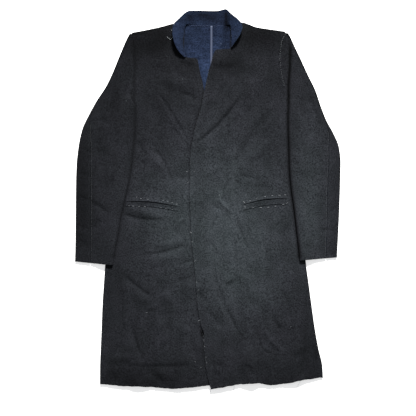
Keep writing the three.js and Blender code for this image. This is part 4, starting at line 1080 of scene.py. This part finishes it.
# The collar's seam: how far it laps over the neck edge, where the corners are, and how far it drops there.
neck = {"lap": 0.8, "more": 50, "from": 46, "to": 60.5, "drop": 1.6}


def collarGrid(spacing=3.2):
    # A band between its seam and its free edge, arched a little where it stands up.
    s = sectionRows(collarSections, [("seamX", "seamY"), ("freeX", "freeY")], spacing)
    value = {name: bySection(collarSections, name, s)[:, None] for name in collarSections[0]}
    share = shares(13, 0.03)[None, :]
    rise = np.maximum(0, value["freeZ"] - value["seamZ"])
    x = blend(value["seamX"], value["freeX"], share)
    tuck = neck["lap"] + ease((np.abs(value["seamX"]) - neck["more"]) / 6)
    y = blend(value["seamY"] - tuck, value["freeY"], share)
    z = blend(value["seamZ"], value["freeZ"], share) + 0.09 * rise * np.sin(np.pi * share)
    z = z + 0.5 * share * valueNoise(s[:, None] * 10 + 0 * share, share * 3, 6, 41) * ease(rise / 6)
    # At the neck's corners the seam's edge bends down on to the backs.
    seamOut = np.abs(value["seamX"][:, 0])
    corner = ease((seamOut - neck["from"]) / 6) * (1 - ease((seamOut - neck["to"]) / 1.5))
    y[:, 0] -= neck["drop"] * corner
    z[:, 0] = blend(z[:, 0], np.minimum(z[:, 0], 3 * backLevel), corner)
    return np.stack([x, y, z], -1)


collarPoints = collarGrid()
collarPiece = woolPanel("collarBandCloth", collarPoints, "black", navyTone(collarPoints))
print("collar made")


# Pockets: a slit with a thin strip of the same cloth along each side.

pockets = {
    "right": {"x0": -226, "y0": -7, "x1": -81, "y1": -21, "bow": 5, "upper": 12, "lower": 12},
    "left": {"x0": 96, "y0": -16, "x1": 216, "y1": 1, "bow": 5.5, "upper": 11, "lower": 15},
}
slit = {"end": 0.9, "middle": 3.8, "strip": 1.0, "lift": 0.1, "lips": 1.8, "sink": 0.2}


def pocketLine(pocket, along, away):
    # A point along the bowed mouth, away up or down the coat.
    x = blend(pocket["x0"], pocket["x1"], along) + 0 * away
    y = blend(pocket["y0"], pocket["y1"], along) + pocket["bow"] * np.sin(np.pi * along) + away
    return x, y


def lipRise(along, away, reach):
    # The lips rise at the mouth and die out towards the strip's edge and the mouth's corners.
    return slit["lips"] * (1 - ease(np.abs(away) / reach * 1.3)) * np.sin(np.pi * along) ** 0.5


def pocketStrip(pocket, side, reach):
    # From the mouth, which gapes at its middle, out to the strip's edge.
    along = shares(round(abs(pocket["x1"] - pocket["x0"]) / 3), 0.006)[None, :]
    start = np.sign(reach) * blend(slit["end"], slit["middle"], np.sin(np.pi * along) ** 0.7) / 2
    away = blend(start, reach, shares(5, 0.08)[:, None])
    x, y = pocketLine(pocket, along, away)
    lips = lipRise(along, away, abs(reach))
    z = frontHeight(x, y, side) + halfWall + slit["lift"] + slit["strip"] / 2 + lips
    points = np.stack([x, y, z], -1)
    return points if reach > 0 else points[::-1]


pocketPieces = {}
for side, pocket in pockets.items():
    for part, reach in (("Upper", pocket["upper"]), ("Lower", -pocket["lower"])):
        strip = pocketStrip(pocket, side, reach)
        pocketPieces[side + part] = clothWall(
            side + part + "PocketStrip", strip, slit["strip"], blackWool, blackWool, toneAndShadeOf(strip), 0.2
        )
print("pockets made")


# Centre back tape.

tape = {"width": 5, "thickness": 1}
tapeY = np.linspace(-505, 476, 240)[:, None]
tapeX = centreBack + tape["width"] * (shares(5, 0.05)[None, :] - 0.5)
tapeX = tapeX + 0.25 * valueNoise(tapeY, tapeY * 0, 40, 51)
tapeZ = 2 * backLevel + cloth["seamGap"] + tape["thickness"] / 2 + 0 * tapeX
tapePoints = np.stack([tapeX, tapeY + 0 * tapeX, tapeZ], -1)
tapePiece = clothWall("centreBackTape", tapePoints, tape["thickness"], seamTape, seamTape, None, 0.15)


# Hand sewing.


def topOf(points, x, y):
    # Height of the middle surface at a place: the weighted mean of the six nearest grid points that face up,
    # less those more than 1.5 below the highest, which belong to the layer under it.
    flat = points.reshape(-1, 3)
    normal = gridNormals(points).reshape(-1, 3)
    flat = flat[np.abs(normal[:, 2]) > 0.3]
    distance = (flat[None, :, 0] - x[:, None]) ** 2 + (flat[None, :, 1] - y[:, None]) ** 2
    near = np.argsort(distance, axis=1)[:, :6]
    weight = 1 / (np.take_along_axis(distance, near, 1) + 0.5)
    height = flat[near, 2]
    high = height > height.max(axis=1, keepdims=True) - 1.5
    weight = weight * high
    return (height * weight).sum(axis=1) / weight.sum(axis=1)


def lengthsTo(line):
    # Length along a line of points up to each of them.
    return np.concatenate([[0], np.cumsum(np.hypot(*np.diff(line, axis=0).T))])


# Seam stitches: length, gap between them, how far they stray, and thickness.
armholeStitch = {"length": 4.6, "gap": 1.6, "jitter": 0.4, "radius": 0.3}
hindarmStitch = {"length": 2.2, "gap": 1.8, "jitter": 0.4}
neckStitch = {"length": 2.2, "gap": 1.6, "jitter": 0.3, "radius": 0.35}
stitchArch = {"rise": 0.4, "sink": 0.35}


def stitchRun(name, line, heightOf, finish, length, gap, jitter, radius):
    # Short arched threads spaced along a line of points; their ends dip into the cloth.
    line = np.asarray(line, float)
    total = lengthsTo(line)
    starts = np.arange(gap * 0.5, total[-1] - length, length + gap)
    starts = starts + rng.uniform(-0.3, 0.3, len(starts)) * gap
    t = np.linspace(0, 1, 7)
    reach = length * rng.uniform(0.75, 1.2, (len(starts), 1))
    marks = starts[:, None] + reach * t[None, :]
    x, y = np.interp(marks, total, line[:, 0]), np.interp(marks, total, line[:, 1])
    offset, lean = (rng.uniform(-jitter, jitter, (len(starts), 1)) for draw in range(2))
    skew = offset + lean * (t[None, :] - 0.5)
    direction = np.stack([x[:, -1] - x[:, 0], y[:, -1] - y[:, 0]], -1)
    direction /= np.maximum(np.linalg.norm(direction, axis=1, keepdims=True), 1e-9)
    x, y = x - direction[:, 1:] * skew, y + direction[:, :1] * skew
    surface = heightOf(x.reshape(-1), y.reshape(-1)).reshape(x.shape)
    z = surface + stitchArch["rise"] * np.sin(np.pi * t[None, :]) ** 0.6 - stitchArch["sink"]
    return tubes(name, np.stack([x, y, z], -1), radius, finish)


def onPanel(points):
    return lambda x, y: topOf(points, x, y) + halfWall


def seamLine(side, high):
    # Just inside the hindarm seam, up to section high: the outer edge plus the seam's distance in.
    table, turn = sleeveLooks[side]["table"], sleeveLooks[side]["turn"]
    s = np.linspace(0.05, high, 80)
    outX, outY, inX, inY, seam = (bySection(table, n, s) for n in ("outX", "outY", "inX", "inY", "backSeam"))
    width = np.hypot(inX - outX, inY - outY)
    d = halfWall + seam + 1.2
    x, y = outX + (inX - outX) / width * d, outY + (inY - outY) / width * d
    return np.stack([turn * x, y], -1)


# Hand stitches round the pockets: middle, half length and lean, uneven as sewn by hand.
pocketStitches = {
    "left": rowsOf("x y half lean", [
        (102, -21.5, 3.4, 0), (124.3, -22.4, 3, -0.1), (145.5, -23.1, 3.2, 0), (165.6, -22.3, 3.6, 0.1),
        (186, -19.5, 3.2, 0.3), (207, -14.2, 3.4, 0.3), (217, -10.5, 2.6, 0.3), (115.6, -4.5, 3, 0.1),
        (134, 2.6, 1.6, 0.3), (157, 7, 3.4, 0.05), (177, 9.8, 3, 0.2), (196.4, 11, 3, 0),
        (212, 12, 2.4, 0.1), (99.5, -8.6, 4.2, -0.8),
    ]),
    "right": rowsOf("x y half lean", [
        (-217, -17.8, 1.8, 0.2), (-205, -19.2, 3.2, 0.05), (-189, -20.4, 2.2, -0.2),
        (-173.5, -20.6, 2.6, 0), (-129, -23.6, 2, 0.1), (-115, -25.2, 1.8, 0), (-97, -28, 2.2, 0.3),
        (-196, 5.6, 1.8, -0.1), (-184, 1.7, 3.2, 0), (-165, -1.2, 2, 0.2), (-122.7, -3.8, 2.6, 0.1),
        (-110, -6.8, 2.4, -0.2), (-98, -9.6, 2.2, 0), (-86, -13.4, 3.2, -0.4),
    ]),
}


def lipHeight(side):
    # Height of a pocket strip's outer face, less what a thread sinks in.
    def height(x, y):
        pocket = pockets[side]
        along = np.clip((x - pocket["x0"]) / (pocket["x1"] - pocket["x0"]), 0, 1)
        away = y - pocketLine(pocket, along, 0)[1]
        reach = np.where(away > 0, pocket["upper"], pocket["lower"])
        lips = lipRise(along, away, reach)
        return frontHeight(x, y, side) + halfWall + slit["lift"] + slit["strip"] + lips - slit["sink"]
    return height


def shortStitches(name, rows, heightOf, radius, finish):
    # One arched thread for each row: middle plus and minus half its length, leaning, its ends in the cloth.
    t = np.linspace(-1, 1, 7)[None, :]
    x, y, half, lean = (column(rows, part)[:, None] for part in ("x", "y", "half", "lean"))
    px, py = x + half * t * np.cos(lean), y + half * t * np.sin(lean)
    z = heightOf(px.reshape(-1), py.reshape(-1)).reshape(px.shape) + radius * (1 - 1.8 * t**4)
    return tubes(name, np.stack([px, py, z], -1), radius, finish)


sewing = {}
for side, radius in (("left", 0.45), ("right", 0.34)):
    name = side + "PocketStitches"
    sewing[name] = shortStitches(name, pocketStitches[side], lipHeight(side), radius, greyThread)
armhole = [
    (213.7, 455), (207, 444), (203, 434), (199.5, 412), (198, 392), (199, 372), (201.9, 350.6), (206, 330),
    (211, 309),
]
sewing["armhole"] = stitchRun(
    "leftArmholeStitches", armhole, onPanel(leftFront), dimThread, **armholeStitch
)
for side, high, radius in (("right", 6.4, 0.26), ("left", 6.2, 0.28)):
    name, heightOf = side + "HindarmStitches", onPanel(sleeveGrids[side + "Upper"])
    sewing[name] = stitchRun(name, seamLine(side, high), heightOf, dimThread, radius=radius, **hindarmStitch)
neckLine = [(-56, 478.3), (-36, 477.4), (-12, 477), (12, 477), (30, 477.2), (44, 478.2)]
sewing["neck"] = stitchRun(
    "neckSeamStitches", neckLine, lambda x, y: 0 * x + 2 * backLevel, blueThread, **neckStitch
)
print("stitches made")

# Tacks on the front and its edge: their middles, how far they reach along X and Y, and their radii.
tacks = rowsOf("x y dx dy radius", [
    (-46.5, -91, 2, -1.5, 0.8), (-43, -117, 1.2, -2.2, 0.55), (-36, -170, 3, 2, 0.3),
    (-31, -228, 1, -2.5, 0.4), (-27, -250, 1, 2.5, 0.35), (-24, -333, 3.5, 1.6, 0.6),
    (-11, -388, 0.6, -3, 0.35), (-9, -404, 1.8, 1, 0.45), (-5, -434, 0.8, 1.8, 0.3),
    (-3, -449, -1, 1.6, 0.3), (-35, -446, 2, -1.2, 0.4), (-19, -462, -2.5, -2.5, 0.35),
    (31, 11, 1.2, 0.8, 0.75), (-58, 76, 1.6, -1, 0.5), (-38, 76, 1.4, 0.8, 0.35), (-55, 46, 1.2, -1.6, 0.4),
    (-157.6, -11, 0.9, 0.5, 0.9), (-168, -311, 3, 1, 0.4), (228, -350, 1.2, 0.8, 0.4),
])


def topmost(x, y):
    # Height of the upper face of whichever front is on top there.
    lapped = x > lookUp(leftFrontSections, "edgeY", "edgeX", y)
    return np.where(lapped, frontHeight(x, y, "left"), frontHeight(x, y, "right")) + halfWall


def tackPaths(rows):
    # Short arcs, 0.5 high at their middles.
    t = np.linspace(-1, 1, 7)[None, :]
    x, y, dx, dy = (column(rows, name)[:, None] for name in ("x", "y", "dx", "dy"))
    px, py = x + dx * t, y + dy * t
    return np.stack([px, py, topmost(px, py) + 0.5 * (1 - t**2) - 0.2], -1)


sewing["tacks"] = tubes("frontEdgeTacks", tackPaths(tacks), column(tacks, "radius") * 0.75, greyThread)

# Fibres standing out of the raw edges: how many, how long, how thick and how far they stand off.
fray = {"front": 190, "hem": 240, "length": 3.4, "radius": 0.09, "stand": 0.5}


def frayPaths(line, count, heightOf):
    # From random places along a line, each its own length and way, rising evenly to the stand.
    total = lengthsTo(line)
    marks = rng.uniform(0, total[-1], (count, 1))
    length = fray["length"] * rng.uniform(0.3, 1, (count, 1))
    way = rng.uniform(0, 2 * np.pi, (count, 1))
    t = np.linspace(0, 1, 5)[None, :]
    x = np.interp(marks, total, line[:, 0]) + length * t * np.cos(way + 0.6 * t)
    y = np.interp(marks, total, line[:, 1]) + length * t * np.sin(way + 0.6 * t)
    return np.stack([x, y, heightOf(x, y) + fray["stand"] * t], -1)


edgeYs = column(leftFrontSections, "edgeY")
edgeYs = np.linspace(edgeYs.min() + 2, edgeYs.max() - 2, 60)
frontLine = np.stack([lookUp(leftFrontSections, "edgeY", "edgeX", edgeYs), edgeYs], -1)
frontFray = frayPaths(frontLine, fray["front"], topmost)
sewing["frontFray"] = tubes("frontEdgeFray", frontFray, fray["radius"], dimThread)
hemLine = np.concatenate([rightFront[0, :, :2], leftFront[0, :, :2]])
hemLine = hemLine[np.argsort(hemLine[:, 0])]
hemFray = frayPaths(hemLine, fray["hem"], lambda x, y: 0 * x + 0.4)
sewing["hemFray"] = tubes("hemFray", hemFray, fray["radius"], dimThread)

# Loose threads, as points they pass; they lie on the floor past the hem, or on the cloth.
looseThreads = rowsOf("name radius z points", [
    ("hemThread", 0.3, 0.35, [
        (8.5, -518), (6, -530), (5.5, -541), (8, -552), (16, -557), (26, -556), (38, -550),
    ]),
    ("hemCurl", 0.25, 0.3, [(73, -512), (71.5, -524), (74, -533), (80, -536), (86, -531)]),
    ("hemWisp", 0.22, 0.3, [(255, -492), (254, -500), (250, -508), (244, -517)]),
    ("cornerFluff", 0.35, 0.4, [(-300, -500), (-306, -497), (-311, -499), (-307, -503), (-303, -500)]),
    ("collarFray", 0.4, 7.4, [(-112, 446), (-107, 441), (-103, 439), (-99, 442), (-97, 446)]),
    ("collarFrayTwo", 0.35, 7.2, [(-101, 466), (-99, 463), (-97, 461), (-96, 458)]),
])
for thread in looseThreads:
    xy = np.array(thread["points"], float)
    marks = np.linspace(0, len(xy) - 1, 34)
    x, y = (smoothBetween(np.arange(len(xy)), xy[:, k], marks) for k in (0, 1))
    path = np.stack([x, y, thread["z"] + 0.12 * np.sin(marks * 5)], -1)
    sewing[thread["name"]] = tubes(thread["name"], path[None], thread["radius"], greyThread)
print("threads made")

# What each piece stands for, rests on and rides: flat sizes in metres, areas in square metres.

sheets = rowsOf("piece node slot flat area on", [
    (frontRight, "front_right", "outer_wool", (0.366, 1.005), 0.272, ["rightBackCloth"]),
    (frontLeft, "front_left", "outer_wool", (0.372, 1.01), 0.28, ["leftBackCloth"]),
    (backRight, "back_right", "inner_wool", (0.31, 0.995), 0.264, []),
    (backLeft, "back_left", "inner_wool", (0.311, 0.998), 0.242, []),
    (sleevePieces["rightUpper"], "sleeve_upper_right", "outer_wool", (0.17, 0.645), 0.079,
     ["rightFrontCloth"]),
    (sleevePieces["rightUnder"], "sleeve_under_right", "outer_wool", (0.15, 0.64), 0.062, []),
    (sleevePieces["leftUpper"], "sleeve_upper_left", "outer_wool", (0.17, 0.64), 0.072,
     ["leftFrontCloth"]),
    (sleevePieces["leftUnder"], "sleeve_under_left", "outer_wool", (0.15, 0.63), 0.06, []),
    (collarPiece, "collar", "inner_wool", (0.042, 0.4), 0.0108, ["rightFrontCloth", "leftFrontCloth"]),
    (pocketPieces["rightUpper"], "pocket_strip_upper_right", "outer_wool", (0.146, 0.0115), None,
     ["rightFrontCloth"]),
    (pocketPieces["rightLower"], "pocket_strip_lower_right", "outer_wool", (0.146, 0.0115), None,
     ["rightFrontCloth"]),
    (pocketPieces["leftUpper"], "pocket_strip_upper_left", "outer_wool", (0.122, 0.0105), None,
     ["leftFrontCloth"]),
    (pocketPieces["leftLower"], "pocket_strip_lower_left", "outer_wool", (0.122, 0.0145), None,
     ["leftFrontCloth"]),
    (tapePiece, "back_seam_tape", "seam_tape", (0.0103, 0.981), 0.006, ["rightBackCloth", "leftBackCloth"]),
])
for sheet in sheets:
    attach(sheet["piece"], "root")
    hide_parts(sheet["node"])
for piece in sewing.values():
    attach(piece, "root")

# Floor and light.

corners = np.array([(-1, -1, 0), (1, -1, 0), (1, 1, 0), (-1, 1, 0)]) * float(board["half"])
corners[:, 2] = -board["below"]
floor = meshPiece("paleFloor", corners, np.array([[0, 1, 2, 3]]), [paleFloor("whiteBackingBoard")])
floor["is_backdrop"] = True

makeCamera()
areaLight("keyLight", **keyLight)
world = bpy.data.worlds.new("paleStudio")
world.use_nodes = True
sky = world.node_tree.nodes["Background"]
sky.inputs["Color"].default_value = studio["skyColour"]
sky.inputs["Strength"].default_value = studio["skyStrength"]
bpy.context.scene.world = world
bpy.context.scene.view_settings.view_transform = "Standard"
print("floor, camera and light made")

low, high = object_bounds()
